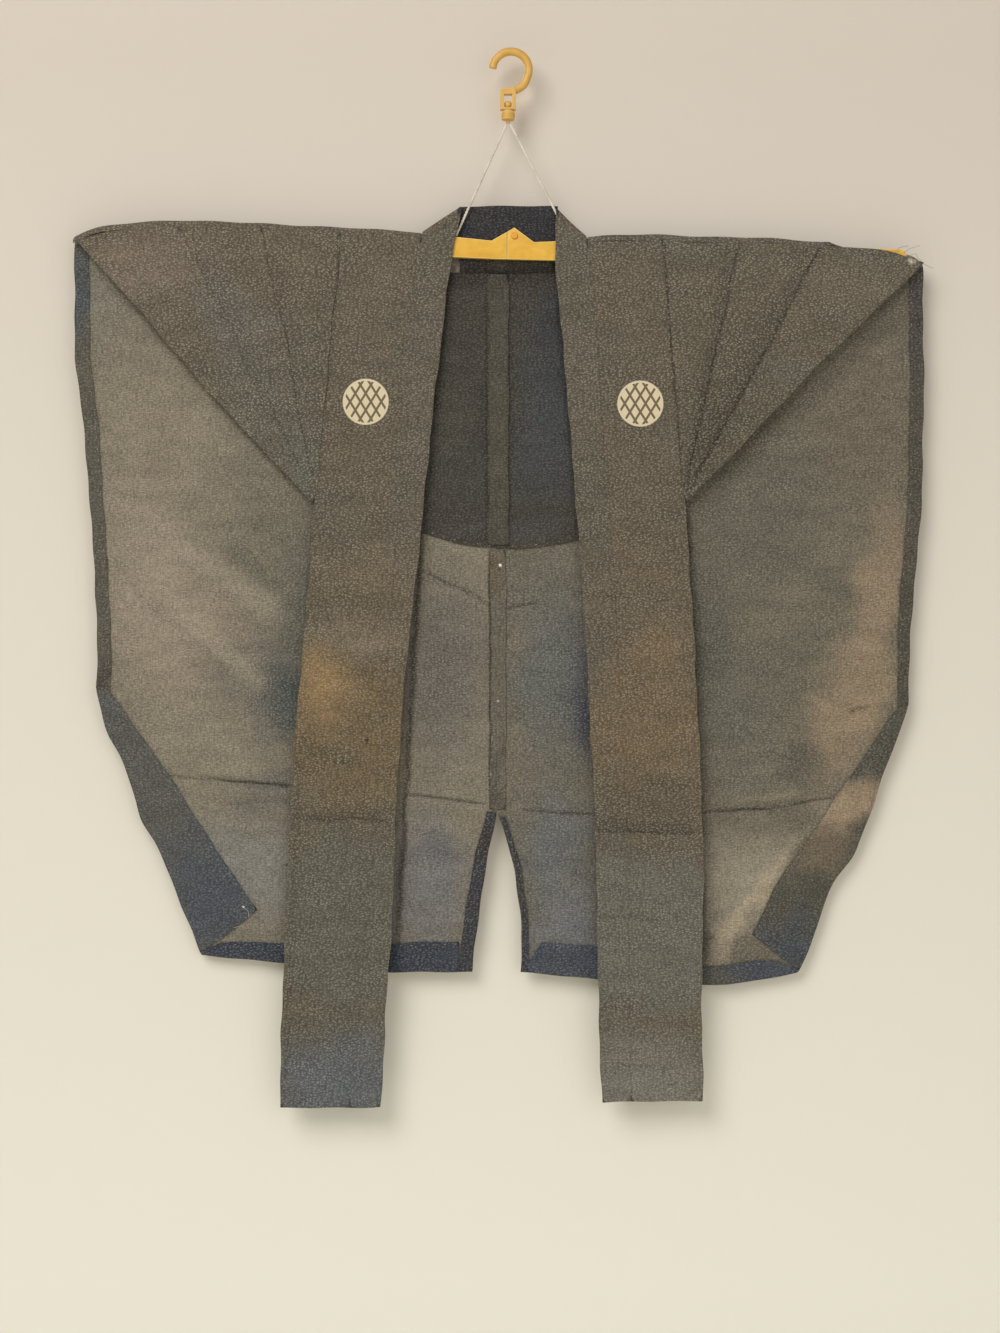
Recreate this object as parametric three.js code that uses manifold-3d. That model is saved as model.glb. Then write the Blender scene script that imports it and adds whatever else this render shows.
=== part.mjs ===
// A kataginu, the pleated vest with wing shoulders of a kamishimo, on a folding hanger with a hook.
// Millimetres. +X is the wearer's left, +Y the wearer's back, +Z up. The hook hangs from the origin.
// "out" is a distance sideways from the hook, "down" a distance below it, "depth" a place along Y.
import * as THREE from "three";
import { mergeVertices } from "three/addons/utils/BufferGeometryUtils.js";
import Module from "manifold-3d";

const wasm = await Module();
wasm.setup();

// Cloth
const CLOTH = 1; // wall of one layer
const HEM_CLOTH = 0.8; // turned layer of a hem, flap or seam allowance
const COLLAR_CLOTH = 1.7; // folded collar, two layers and the seam allowance in it
const SEAM_GAP = 0.3; // between pieces that are sewn together
const SHOULDER_GAP = 0.9; // below the fold over the shoulder, where the front goes on
const LYING_GAP = 0.4; // between a panel and what lies on it

// How the hanging vest is stacked from front to back
const FRONT_DEPTH = -4; // outer face of the fronts at the shoulder
const BACK_DEPTH = 5; // inner face of the back at the shoulder
const FRONT_SWING = 2.5; // how far the strips' ends hang forward of their tops
const BACK_FLARE = 9; // how far the outer lower corners fall back
const BACK_SAG = 2; // how far the middle of the hem falls back
const FLARE_GROWTH = 1.5; // the flare grows faster than the distance out and down
const WING_REACH = 340; // from the centre seam to a wing's outer edge
const SHOULDER_DOWN = 140;
const HEM_DOWN = 745;
const STRIP_END_DOWN = 850;
const CENTRE_X = -11; // the centre back seam hangs a little to one side of the hook

// Pleats of each front
const PLEAT_TOP_HEIGHT = 0.8;
const PLEAT_MIDDLE_HEIGHT = { right: 1, left: 2.6 };

// The soft crease across the back, where the vest lay folded
const CREASE_HEIGHT = 2.2;
const CREASE_WIDTH = 14;
const CREASE_FADE = { starts: 205, ends: 240 }; // distance out where it dies away

// Collar
const NECK_TOP_DOWN = 121;
const NECK_SEAM_DOWN = 147;
const NECK_FACING_DOWN = 175.3;
const NECK_CLOTH = 1.2;
const NECK_INNER_DEPTH = 3.8; // middle of the inner leaf of the back neck
const NECK_OUTER_DEPTH = 6.9; // middle of its outer leaf

// Shoulder lining
const LINING_HALF_WIDTH = 105;
const LINING_END_DOWN = 399;
const LINING_ARC_RADIUS = 200;

// Hanger
const HOOK_RADIUS = 14.7; // to the middle of the rod
const ROD_DIAMETER = 6.6;
const BLOCK_THICKNESS = 7;
const BARREL_RADIUS = 5.6;
const BARREL_END_DOWN = 52.4;
const STRING_EYE_DOWN = 55; // end of the thin eye below the barrel, which the strings are tied to
const ARM_THICKNESS = 5;
const ARM_JOINT_X = -2.4;
const ARM_JOINT_FOOT = 165.3;
const STRING_DIAMETER = 2.3;

const SIDES = ["right", "left"];
const SIGN = { right: -1, left: 1 };

// Fold of cloth over the shoulder, from the collar to the tip
const SHOULDER_FOLD = {
  right: [
    { out: 11.15, down: 143 },
    { out: 42, down: 143 },
    { out: 71.8, down: 147.4 },
    { out: 72.4, down: 144 },
    { out: 80, down: 142.6 },
    { out: 95, down: 141.3 },
    { out: 140, down: 138 },
    { out: 170, down: 138.8 },
    { out: 202, down: 134.8 },
    { out: 274, down: 133.2 },
    { out: 318, down: 135.6 },
    { out: 340, down: 139.6 },
    { out: 353, down: 147 },
  ],
  left: [
    { out: -10.85, down: 145 },
    { out: 26, down: 145 },
    { out: 61.8, down: 150.2 },
    { out: 62.4, down: 146.8 },
    { out: 70, down: 145.6 },
    { out: 113, down: 143.7 },
    { out: 146, down: 146.9 },
    { out: 186, down: 146.1 },
    { out: 258, down: 151.2 },
    { out: 275, down: 154.2 },
    { out: 324, down: 160.6 },
    { out: 330, down: 163.5 },
    { out: 334.5, down: 168.8 },
  ],
};

// Where the cloth folds over the hanger. It opens towards the neck, and at the left tip, where it is
// worn through and the hanger's arm comes out.
const FOLD_OVER = {
  right: { starts: 71.8, full: 72.4, thins: 360, ends: 380 },
  left: { starts: 61.8, full: 62.4, thins: 262, ends: 276 },
};

// Distances out of the back panels' columns, with one at each end of the fold
const BACK_COLUMNS = {
  right: [11.15, 42, 71.8, 72.4, 80, 105, 132, 159, 186, 213, 240, 267, 294, 316, 337, 353],
  left: [-10.85, 26, 61.8, 62.4, 70, 98, 130, 162, 194, 226, 258, 276, 294, 310, 324, 330, 334.5],
};

// Outer edge of each back, from the shoulder tip to the hem
const BACK_OUTER_EDGE = {
  right: [
    { out: 353, down: 147 },
    { out: 353, down: 248 },
    { out: 348, down: 281 },
    { out: 341.5, down: 345 },
    { out: 341.3, down: 370 },
    { out: 337.5, down: 405 },
    { out: 335, down: 491 },
    { out: 336, down: 518 },
    { out: 328, down: 549 },
    { out: 312, down: 576 },
    { out: 300, down: 620 },
    { out: 283, down: 646 },
    { out: 273, down: 676 },
    { out: 251, down: 730 },
  ],
  left: [
    { out: 334.5, down: 168.8 },
    { out: 336, down: 275 },
    { out: 333.7, down: 374 },
    { out: 327, down: 437 },
    { out: 324, down: 498 },
    { out: 323, down: 536 },
    { out: 305, down: 576 },
    { out: 292, down: 619 },
    { out: 278, down: 652 },
    { out: 259, down: 675 },
    { out: 249, down: 711 },
    { out: 235, down: 744 },
  ],
};

// Inner edge of each back: the centre seam, then the vent
const BACK_INNER_EDGE = {
  right: [
    { out: 11.15, down: 143 },
    { out: 11.15, down: 612 },
    { out: 18, down: 649 },
    { out: 26, down: 694 },
    { out: 31, down: 743 },
  ],
  left: [
    { out: -10.85, down: 145 },
    { out: -10.85, down: 612 },
    { out: 2.4, down: 649 },
    { out: 6.5, down: 673 },
    { out: 10.5, down: 708 },
    { out: 9, down: 743 },
  ],
};

const BACK_HEM = {
  right: [
    { out: 31, down: 743 },
    { out: 99, down: 743 },
    { out: 181, down: 736 },
    { out: 251, down: 730 },
  ],
  left: [
    { out: 9, down: 743 },
    { out: 71, down: 749 },
    { out: 155, down: 755 },
    { out: 205, down: 750 },
    { out: 235, down: 744 },
  ],
};

// The crease across the back
const BACK_CREASE = [
  { x: -274, down: 584 },
  { x: -177, down: 596 },
  { x: -88, down: 601 },
  { x: -22, down: 605 },
  { x: 59, down: 620 },
  { x: 160, down: 617 },
  { x: 208, down: 613 },
  { x: 262, down: 605 },
];

// Free edge of the collar down each front
const COLLAR_EDGE = {
  right: [
    { out: 40.2, down: 128.1 },
    { out: 43.7, down: 146 },
    { out: 49, down: 165 },
    { out: 51.8, down: 198 },
    { out: 60, down: 263 },
    { out: 68.4, down: 344 },
    { out: 75.3, down: 414 },
    { out: 85, down: 495 },
    { out: 90.7, down: 576 },
    { out: 93.2, down: 619 },
    { out: 95, down: 695 },
    { out: 99.6, down: 749 },
    { out: 104.5, down: 850 },
  ],
  left: [
    { out: 37.5, down: 129.7 },
    { out: 36.6, down: 150 },
    { out: 36.5, down: 167 },
    { out: 44.6, down: 248 },
    { out: 51, down: 329 },
    { out: 59, down: 427 },
    { out: 66.4, down: 562 },
    { out: 69.7, down: 630 },
    { out: 72, down: 775 },
    { out: 74.5, down: 846 },
  ],
};

// Seam between the collar and each front
const COLLAR_SEAM = {
  right: [
    { out: 71.5, down: 149.4 },
    { out: 76, down: 165 },
    { out: 78.4, down: 198 },
    { out: 86, down: 263 },
    { out: 94.2, down: 344 },
    { out: 101, down: 414 },
    { out: 110.5, down: 495 },
    { out: 116, down: 576 },
    { out: 118.4, down: 619 },
    { out: 120, down: 695 },
    { out: 124.4, down: 749 },
    { out: 129, down: 850.3 },
  ],
  left: [
    { out: 61.5, down: 152.2 },
    { out: 65.5, down: 167 },
    { out: 70.5, down: 248 },
    { out: 76.5, down: 329 },
    { out: 83.4, down: 427 },
    { out: 91, down: 562 },
    { out: 94.5, down: 630 },
    { out: 96, down: 775 },
    { out: 97.3, down: 845.7 },
  ],
};

// Outer edge of each strip, below the point where the pleats meet
const STRIP_OUTER_EDGE = {
  right: [
    { out: 157.5, down: 361.5 },
    { out: 164.4, down: 455 },
    { out: 171.7, down: 532 },
    { out: 176.6, down: 595 },
    { out: 180.6, down: 694 },
    { out: 184, down: 775 },
    { out: 185.5, down: 851 },
  ],
  left: [
    { out: 140.7, down: 361.5 },
    { out: 146.6, down: 441 },
    { out: 150, down: 508 },
    { out: 154, down: 589 },
    { out: 156.3, down: 668 },
    { out: 154, down: 749 },
    { out: 155.5, down: 845 },
  ],
};

// Folded edge of each pleat from the shoulder to where they meet, the one next to the neck first,
// and then the front's own outer edge
const PLEAT_FOLDS = {
  right: [
    [
      { out: 137.7, down: 143.5 },
      { out: 138.5, down: 174 },
      { out: 143.4, down: 208 },
      { out: 149.9, down: 281 },
      { out: 153.5, down: 320 },
      { out: 156.3, down: 350 },
    ],
    [
      { out: 201, down: 140.2 },
      { out: 192, down: 191 },
      { out: 182.3, down: 221 },
      { out: 174.5, down: 272 },
      { out: 163.6, down: 329 },
      { out: 157.2, down: 354 },
    ],
    [
      { out: 268, down: 138.7 },
      { out: 248.7, down: 178 },
      { out: 224.4, down: 229 },
      { out: 205, down: 272 },
      { out: 178.2, down: 318 },
      { out: 158.1, down: 357.5 },
    ],
    [
      { out: 349, down: 150.5 },
      { out: 340.2, down: 160 },
      { out: 299.7, down: 204 },
      { out: 243, down: 272.5 },
      { out: 202.5, down: 315.4 },
      { out: 159, down: 361 },
    ],
  ],
  left: [
    [
      { out: 124, down: 150.2 },
      { out: 128, down: 194 },
      { out: 132, down: 248 },
      { out: 136.1, down: 297 },
      { out: 138, down: 325 },
      { out: 139.6, down: 350 },
    ],
    [
      { out: 187.5, down: 151.5 },
      { out: 178.2, down: 194 },
      { out: 167.7, down: 234 },
      { out: 159.6, down: 272 },
      { out: 151.5, down: 310 },
      { out: 140.4, down: 354 },
    ],
    [
      { out: 251, down: 155.6 },
      { out: 224.4, down: 204 },
      { out: 200, down: 253 },
      { out: 180.6, down: 289 },
      { out: 163.6, down: 315 },
      { out: 141.2, down: 357.5 },
    ],
    [
      { out: 333, down: 172.5 },
      { out: 324, down: 181 },
      { out: 281, down: 221 },
      { out: 240.6, down: 258.7 },
      { out: 192, down: 309.7 },
      { out: 142, down: 361 },
    ],
  ],
};

// Inner edge of the turned hem down each side of the back
const SIDE_HEM_EDGE = {
  right: [
    { out: 342, down: 153 },
    { out: 342, down: 243 },
    { out: 336.2, down: 286 },
    { out: 331.6, down: 345 },
    { out: 331.3, down: 370 },
    { out: 327, down: 421 },
    { out: 325, down: 491 },
    { out: 325.6, down: 508 },
    { out: 325.3, down: 515.6 },
  ],
  left: [
    { out: 324.5, down: 171 },
    { out: 325.5, down: 275 },
    { out: 323.5, down: 374 },
    { out: 316.5, down: 437 },
    { out: 316, down: 498 },
    { out: 315.5, down: 522 },
    { out: 315.1, down: 529.6 },
  ],
};

const SIDE_HEM_ENDS = {
  right: { from: 153, to: 511.6 },
  left: { from: 171, to: 525.6 },
};

// Inner edge of the corner that is turned in at the foot of each wing
const FLAP_EDGE = {
  right: [
    { out: 325, down: 516 },
    { out: 294, down: 560 },
    { out: 277, down: 584 },
    { out: 251, down: 627 },
    { out: 232.5, down: 654 },
    { out: 206, down: 693 },
  ],
  left: [
    { out: 314.3, down: 530 },
    { out: 294, down: 560 },
    { out: 267, down: 600 },
    { out: 251, down: 625 },
    { out: 218.7, down: 668 },
    { out: 198, down: 713 },
  ],
};

const FLAP_ENDS = {
  right: { from: 512, to: 728 },
  left: { from: 526, to: 742.5 },
};

// Turned hem along the foot of each back, from the vent to the flap
const BOTTOM_HEM = {
  right: [
    { out: 41.4, inner: 718.5, outer: 742.7 },
    { out: 99, inner: 720.5, outer: 742.7 },
    { out: 181, inner: 720.5, outer: 735.7 },
    { out: 232, inner: 719, outer: 731.3 },
    { out: 239.5, inner: 719.4, outer: 730.5 },
    { out: 249.8, inner: 727.6, outer: 729.6 },
  ],
  left: [
    { out: 14.6, inner: 735.8, outer: 743.2 },
    { out: 27, inner: 719, outer: 744.5 },
    { out: 71, inner: 722, outer: 748.7 },
    { out: 155, inner: 740.5, outer: 754.7 },
    { out: 192, inner: 735.5, outer: 751 },
    { out: 219, inner: 734, outer: 747 },
    { out: 224.5, inner: 734.6, outer: 746 },
    { out: 233.6, inner: 741.9, outer: 743.9 },
  ],
};

// Turned hem up each side of the vent
const VENT_HEM = {
  right: [
    { down: 613, edge: 11.8, inner: 18.6 },
    { down: 649, edge: 18.2, inner: 28 },
    { down: 694, edge: 26.2, inner: 36.5 },
    { down: 742.5, edge: 31.2, inner: 41 },
  ],
  left: [
    { down: 617, edge: -8.7, inner: -5.2 },
    { down: 649, edge: 2.6, inner: 7.1 },
    { down: 673, edge: 6.7, inner: 11.2 },
    { down: 708, edge: 10.7, inner: 15 },
    { down: 742.5, edge: 9.3, inner: 13.9 },
  ],
};

// Seam allowances that show beside the centre seam
const ALLOWANCES = [
  { name: "lining_seam_allowance", left: -17.8, right: -1.6, from: 177, to: 396, onLining: true },
  { name: "centre_seam_allowance", left: -16.2, right: -4, from: 401, to: 610, onLining: false },
];

const CLOTH_OUTSIDE = new THREE.MeshStandardMaterial({ color: 0x6e675c, roughness: 0.95 });
const CLOTH_INSIDE = new THREE.MeshStandardMaterial({ color: 0x8a8171, roughness: 0.95 });
const CLOTH_NAVY = new THREE.MeshStandardMaterial({ color: 0x41444e, roughness: 0.95 });
const HANGER_PLASTIC = new THREE.MeshStandardMaterial({ color: 0xf0b946, roughness: 0.4 });
const STRING_COTTON = new THREE.MeshStandardMaterial({ color: 0xe9e3d4, roughness: 0.9 });

const vest = new THREE.Group();
vest.name = "kataginu_on_hanger";

function addMesh(name, geometry, material) {
  const mesh = new THREE.Mesh(geometry, material);
  mesh.name = name;
  vest.add(mesh);
  return mesh;
}

// A point from a distance sideways, a distance down and a depth
function place(side, out, down, depth) {
  return new THREE.Vector3(SIGN[side] * out, depth, -down);
}

function blend(from, to, share) {
  return from + (to - from) * share;
}

// A row's value between the rows of a table, read by one of its columns
function read(table, column, value, wanted) {
  let i = 0;
  while (i < table.length - 2 && table[i + 1][column] < value) i += 1;
  const span = table[i + 1][column] - table[i][column];
  const share = THREE.MathUtils.clamp((value - table[i][column]) / span, 0, 1);
  return blend(table[i][wanted], table[i + 1][wanted], share);
}

// A point at a share of the length of an edge
function along(edge, share) {
  const lengths = [0];
  for (let i = 1; i < edge.length; i += 1) {
    const step = Math.hypot(edge[i].out - edge[i - 1].out, edge[i].down - edge[i - 1].down);
    lengths.push(lengths[i - 1] + step);
  }
  const wanted = share * lengths[lengths.length - 1];
  let i = 0;
  while (i < edge.length - 2 && lengths[i + 1] < wanted) i += 1;
  const part = (wanted - lengths[i]) / (lengths[i + 1] - lengths[i]);
  return {
    out: blend(edge[i].out, edge[i + 1].out, part),
    down: blend(edge[i].down, edge[i + 1].down, part),
  };
}

// The part of an edge between two heights
function cutEdge(edge, from, to) {
  const kept = edge.filter((row) => row.down > from + 1 && row.down < to - 1);
  const start = { out: read(edge, "down", from, "out"), down: from };
  const end = { out: read(edge, "down", to, "out"), down: to };
  return [start, ...kept, end];
}

// A point of a panel that is held by its four edges
function inPanel(top, foot, inner, outer, across, drop) {
  const t = along(top, across);
  const f = along(foot, across);
  const i = along(inner, drop);
  const o = along(outer, drop);
  const [topInner, topOuter, footInner, footOuter] = [top[0], top.at(-1), foot[0], foot.at(-1)];
  const part = (key) =>
    blend(t[key], f[key], drop) +
    blend(i[key], o[key], across) -
    blend(blend(topInner[key], topOuter[key], across), blend(footInner[key], footOuter[key], across), drop);
  return { out: part("out"), down: part("down") };
}

// A closed wall between two grids of points with the same rows and columns
function wall(gridA, gridB) {
  const rows = gridA.length;
  const columns = gridA[0].length;
  const points = [...gridA.flat(), ...gridB.flat()];
  const a = (row, column) => row * columns + column;
  const b = (row, column) => rows * columns + a(row, column);
  const index = [];
  const quad = (p, q, r, s) => index.push(p, q, r, p, r, s);
  for (let row = 0; row < rows - 1; row += 1) {
    for (let column = 0; column < columns - 1; column += 1) {
      quad(a(row, column), a(row + 1, column), a(row + 1, column + 1), a(row, column + 1));
      index.push(b(row, column), b(row + 1, column + 1), b(row + 1, column));
      index.push(b(row, column), b(row, column + 1), b(row + 1, column + 1));
    }
    quad(a(row, 0), b(row, 0), b(row + 1, 0), a(row + 1, 0));
    const end = columns - 1;
    quad(a(row, end), a(row + 1, end), b(row + 1, end), b(row, end));
  }
  for (let column = 0; column < columns - 1; column += 1) {
    quad(a(0, column), a(0, column + 1), b(0, column + 1), b(0, column));
    const end = rows - 1;
    quad(a(end, column), b(end, column), b(end, column + 1), a(end, column + 1));
  }
  return outward(new THREE.BufferGeometry().setFromPoints(points).setIndex(index));
}

// The same geometry with its faces turned to point out
function outward(geometry) {
  const position = geometry.getAttribute("position");
  const index = Array.from(geometry.index.array);
  const [p, q, r] = [new THREE.Vector3(), new THREE.Vector3(), new THREE.Vector3()];
  let volume = 0;
  for (let i = 0; i < index.length; i += 3) {
    p.fromBufferAttribute(position, index[i]);
    q.fromBufferAttribute(position, index[i + 1]);
    r.fromBufferAttribute(position, index[i + 2]);
    volume += p.dot(q.cross(r));
  }
  if (volume < 0) index.reverse();
  return geometry.setIndex(index);
}

function steps(count, make) {
  return Array.from({ length: count + 1 }, (unused, i) => make(i / count, i));
}

function evenly(count) {
  return steps(count, (share) => share);
}

function solidOf(geometry) {
  const bare = geometry.clone();
  bare.deleteAttribute("normal");
  bare.deleteAttribute("uv");
  const merged = mergeVertices(bare, 1e-4);
  return new wasm.Manifold(
    new wasm.Mesh({
      numProp: 3,
      vertProperties: new Float32Array(merged.getAttribute("position").array),
      triVerts: new Uint32Array(merged.index.array),
    }),
  );
}

function joined(geometries) {
  const solid = geometries.map(solidOf).reduce((whole, piece) => whole.add(piece));
  const mesh = solid.getMesh();
  const made = new THREE.BufferGeometry();
  made.setAttribute("position", new THREE.BufferAttribute(mesh.vertProperties, 3));
  made.setIndex(new THREE.BufferAttribute(mesh.triVerts, 1));
  return made;
}

// Depth of the back's inner face. It falls back towards its outer lower corners, and a soft
// crease crosses it between the turned corners.
function backDepth(x, down) {
  const side = Math.abs(x - CENTRE_X) / WING_REACH;
  const drop = Math.max(0, down - SHOULDER_DOWN) / (HEM_DOWN - SHOULDER_DOWN);
  const flare = BACK_FLARE * (side * drop) ** FLARE_GROWTH + BACK_SAG * drop ** 2;
  const inside = 1 - THREE.MathUtils.smoothstep(Math.abs(x), CREASE_FADE.starts, CREASE_FADE.ends);
  const from = (down - read(BACK_CREASE, "x", x, "down")) / CREASE_WIDTH;
  return BACK_DEPTH + flare - CREASE_HEIGHT * inside * Math.exp(-from * from);
}

// Depth of the fronts' outer face
function frontDepth(down) {
  const drop = Math.max(0, down - SHOULDER_DOWN) / (STRIP_END_DOWN - SHOULDER_DOWN);
  return FRONT_DEPTH - FRONT_SWING * drop;
}

// Back panels. The cloth comes from the front over the hanger, and down.
const FOLD_RADIUS = (BACK_DEPTH + CLOTH - FRONT_DEPTH) / 2;
const FOLD_MIDDLE = FRONT_DEPTH + FOLD_RADIUS;
const FOLD_STEPS = 5;

// Heights of the rows as shares of the panel, closer together at the crease
const BACK_ROWS = [
  0, 0.05, 0.11, 0.17, 0.23, 0.29, 0.35, 0.41, 0.47, 0.53, 0.59, 0.65, 0.7, 0.735, 0.76, 0.78, 0.8,
  0.825, 0.86, 0.9, 0.95, 1,
];

// How much of the fold over the shoulder there is at a distance out
function foldShare(side, out) {
  const open = FOLD_OVER[side];
  return (
    THREE.MathUtils.smoothstep(out, open.starts, open.full) *
    (1 - THREE.MathUtils.smoothstep(out, open.thins, open.ends))
  );
}

// Height where a front's cloth starts below the fold
function frontTop(side, out) {
  const fold = read(SHOULDER_FOLD[side], "out", out, "down");
  return fold + FOLD_RADIUS * foldShare(side, out) + SHOULDER_GAP;
}

function backColumns(side) {
  const outs = BACK_COLUMNS[side];
  return outs.map((out) => (out - outs[0]) / (outs.at(-1) - outs[0]));
}

function backGrid(side, shift) {
  const top = SHOULDER_FOLD[side].map((row) => ({ out: row.out, down: row.down + FOLD_RADIUS }));
  const radius = FOLD_RADIUS - CLOTH + shift;
  const edges = [top, BACK_HEM[side], BACK_INNER_EDGE[side], BACK_OUTER_EDGE[side]];
  const startInner = { ...edges[2][0], down: top[0].down };
  const startOuter = { ...edges[3][0], down: top.at(-1).down };
  edges[2] = [startInner, ...edges[2].slice(1)];
  edges[3] = [startOuter, ...edges[3].slice(1)];
  const foldRows = steps(FOLD_STEPS, (turn) =>
    BACK_COLUMNS[side].map((out) => {
      const middle = read(top, "out", out, "down");
      const over = foldShare(side, out);
      const angle = turn * Math.PI;
      const foldDown = middle - radius * Math.sin(angle);
      const flatDown = middle - FOLD_RADIUS * (1 - turn);
      const foldDepth = FOLD_MIDDLE - radius * Math.cos(angle);
      return place(
        side,
        out,
        blend(flatDown, foldDown, over),
        blend(BACK_DEPTH + shift, foldDepth, over),
      );
    }),
  );
  const shares = backColumns(side);
  const panelRows = BACK_ROWS.slice(1).map((drop) =>
    shares.map((across) => {
      const { out, down } = inPanel(...edges, across, drop);
      return place(side, out, down, backDepth(SIGN[side] * out, down) + shift);
    }),
  );
  return [...foldRows, ...panelRows];
}

for (const side of SIDES) {
  addMesh(`back_${side}`, wall(backGrid(side, 0), backGrid(side, CLOTH)), CLOTH_INSIDE);
}

// Fronts: the length of cloth between the collar and the first pleat, and the strip below it
const FRONT_COLUMNS = 4;
const FRONT_ROWS = 26;

function frontGrid(side, shift) {
  const seam = COLLAR_SEAM[side].map((row) => ({ out: row.out + SEAM_GAP, down: row.down }));
  const outer = [...PLEAT_FOLDS[side][0], ...STRIP_OUTER_EDGE[side]];
  return steps(FRONT_ROWS, (drop) => {
    const a = along(seam, drop);
    const b = along(outer, drop);
    return steps(FRONT_COLUMNS, (across) => {
      const out = blend(a.out, b.out, across);
      const straight = blend(a.down, b.down, across);
      const down = drop === 0 ? Math.max(straight, frontTop(side, out)) : straight;
      return place(side, out, down, frontDepth(down) + shift);
    });
  });
}

for (const side of SIDES) {
  addMesh(`front_${side}`, wall(frontGrid(side, 0), frontGrid(side, CLOTH)), CLOTH_OUTSIDE);
}

// The pleats of each front spread in a fan. Each folded edge faces the neck, stands up from the
// cloth beside it, and the cloth slopes down from it to the next.
const PLEAT_ROWS = 11;
const PLEAT_TOP_FIT = 3; // the top row follows the shoulder, and the rows below it less and less
const PLEAT_PROFILE = [
  { across: 0, height: 0 },
  { across: 0, height: 1 },
  { across: 0.33, height: 0.8 },
  { across: 0.67, height: 0.4 },
];

function pleatGrid(side, shift) {
  const folds = PLEAT_FOLDS[side];
  return steps(PLEAT_ROWS, (drop) => {
    const standing = blend(PLEAT_TOP_HEIGHT, PLEAT_MIDDLE_HEIGHT[side], Math.sin(Math.PI * drop));
    const row = [];
    const addPoint = (edge, next, across, height) => {
      const a = along(edge, drop);
      const b = along(next, drop);
      const out = blend(a.out, b.out, across) + SEAM_GAP;
      const topOut = blend(edge[0].out, next[0].out, across) + SEAM_GAP;
      const topFit = frontTop(side, topOut) - blend(edge[0].down, next[0].down, across);
      const down = blend(a.down, b.down, across) + topFit * (1 - drop) ** PLEAT_TOP_FIT;
      row.push(place(side, out + shift, down, frontDepth(down) - standing * height + shift));
    };
    for (let pleat = 0; pleat < folds.length - 1; pleat += 1) {
      for (const step of PLEAT_PROFILE) {
        addPoint(folds[pleat], folds[pleat + 1], step.across, step.height);
      }
    }
    addPoint(folds.at(-2), folds.at(-1), 1, 0);
    return row;
  });
}

for (const side of SIDES) {
  addMesh(`pleats_${side}`, wall(pleatGrid(side, 0), pleatGrid(side, CLOTH)), CLOTH_OUTSIDE);
}

// Collar down each front, folded double
const COLLAR_RISE = 0.5;
const COLLAR_ROWS = 26;
const COLLAR_COLUMNS = 2;

function collarGrid(side, shift) {
  return steps(COLLAR_ROWS, (drop) => {
    const a = along(COLLAR_EDGE[side], drop);
    const b = along(COLLAR_SEAM[side], drop);
    return steps(COLLAR_COLUMNS, (across) => {
      const out = blend(a.out, b.out, across);
      const down = blend(a.down, b.down, across);
      return place(side, out, down, frontDepth(down) - COLLAR_RISE + shift);
    });
  });
}

for (const side of SIDES) {
  addMesh(`collar_${side}`, wall(collarGrid(side, 0), collarGrid(side, COLLAR_CLOTH)), CLOTH_OUTSIDE);
}

// Collar behind the neck: folded over the edge of the backs, with its facing inside, and turned
// forward over each shoulder to meet the collar of the fronts
const TURN_PEAK = {
  right: { out: 40.2, down: 121.8 },
  left: { out: 37.5, down: 123.4 },
};
const TURN_FOOT = {
  right: { out: 71.5, down: 142.6 },
  left: { out: 61.5, down: 145.4 },
};
const TURN_FRONT = FRONT_DEPTH - COLLAR_RISE;
const TURN_BACK = NECK_OUTER_DEPTH + NECK_CLOTH / 2;
const TURN_RADIUS = (TURN_BACK - TURN_FRONT) / 2;
const TURN_STEPS = 6;
const TURN_COLUMNS = 4;
const TURN_LENGTH = 2; // straight cloth behind the turn
const NECK_STEPS = 4;
const NECK_OVERLAP = 0.5; // the band runs this far into each turn

function neckSection(radiusShift) {
  const middle = (NECK_INNER_DEPTH + NECK_OUTER_DEPTH) / 2;
  const radius = (NECK_OUTER_DEPTH - NECK_INNER_DEPTH) / 2 + radiusShift;
  const foldDown = NECK_TOP_DOWN + (NECK_OUTER_DEPTH - NECK_INNER_DEPTH + NECK_CLOTH) / 2;
  const over = steps(NECK_STEPS, (turn) => ({
    depth: middle - radius * Math.cos(turn * Math.PI),
    down: foldDown - radius * Math.sin(turn * Math.PI),
  }));
  const facing = { depth: middle - radius, down: NECK_FACING_DOWN };
  const seam = { depth: middle + radius, down: NECK_SEAM_DOWN };
  return [facing, ...over, seam];
}

function neckBand() {
  const ends = [-TURN_PEAK.right.out - NECK_OVERLAP, TURN_PEAK.left.out + NECK_OVERLAP];
  const grid = (shift) =>
    neckSection(shift).map(({ depth, down }) =>
      steps(NECK_STEPS, (across) => new THREE.Vector3(blend(...ends, across), depth, -down)),
    );
  return wall(grid(-NECK_CLOTH / 2), grid(NECK_CLOTH / 2));
}

function collarTurn(side) {
  const grid = (shift) =>
    steps(TURN_COLUMNS, (across) => {
      const out = blend(TURN_PEAK[side].out, TURN_FOOT[side].out, across);
      const top = blend(TURN_PEAK[side].down, TURN_FOOT[side].down, across) + TURN_RADIUS;
      const radius = TURN_RADIUS + shift;
      const middle = TURN_FRONT + TURN_RADIUS;
      const over = steps(TURN_STEPS, (turn) =>
        place(
          side,
          out,
          top - radius * Math.sin(turn * Math.PI),
          middle - radius * Math.cos(turn * Math.PI),
        ),
      );
      const end = Math.max(top + TURN_LENGTH, NECK_SEAM_DOWN + TURN_LENGTH * across);
      return [...over, place(side, out, end, middle + radius)];
    });
  return wall(grid(-NECK_CLOTH), grid(0));
}

addMesh("collar_neck", joined([neckBand(), ...SIDES.map(collarTurn)]), CLOTH_NAVY);

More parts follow.
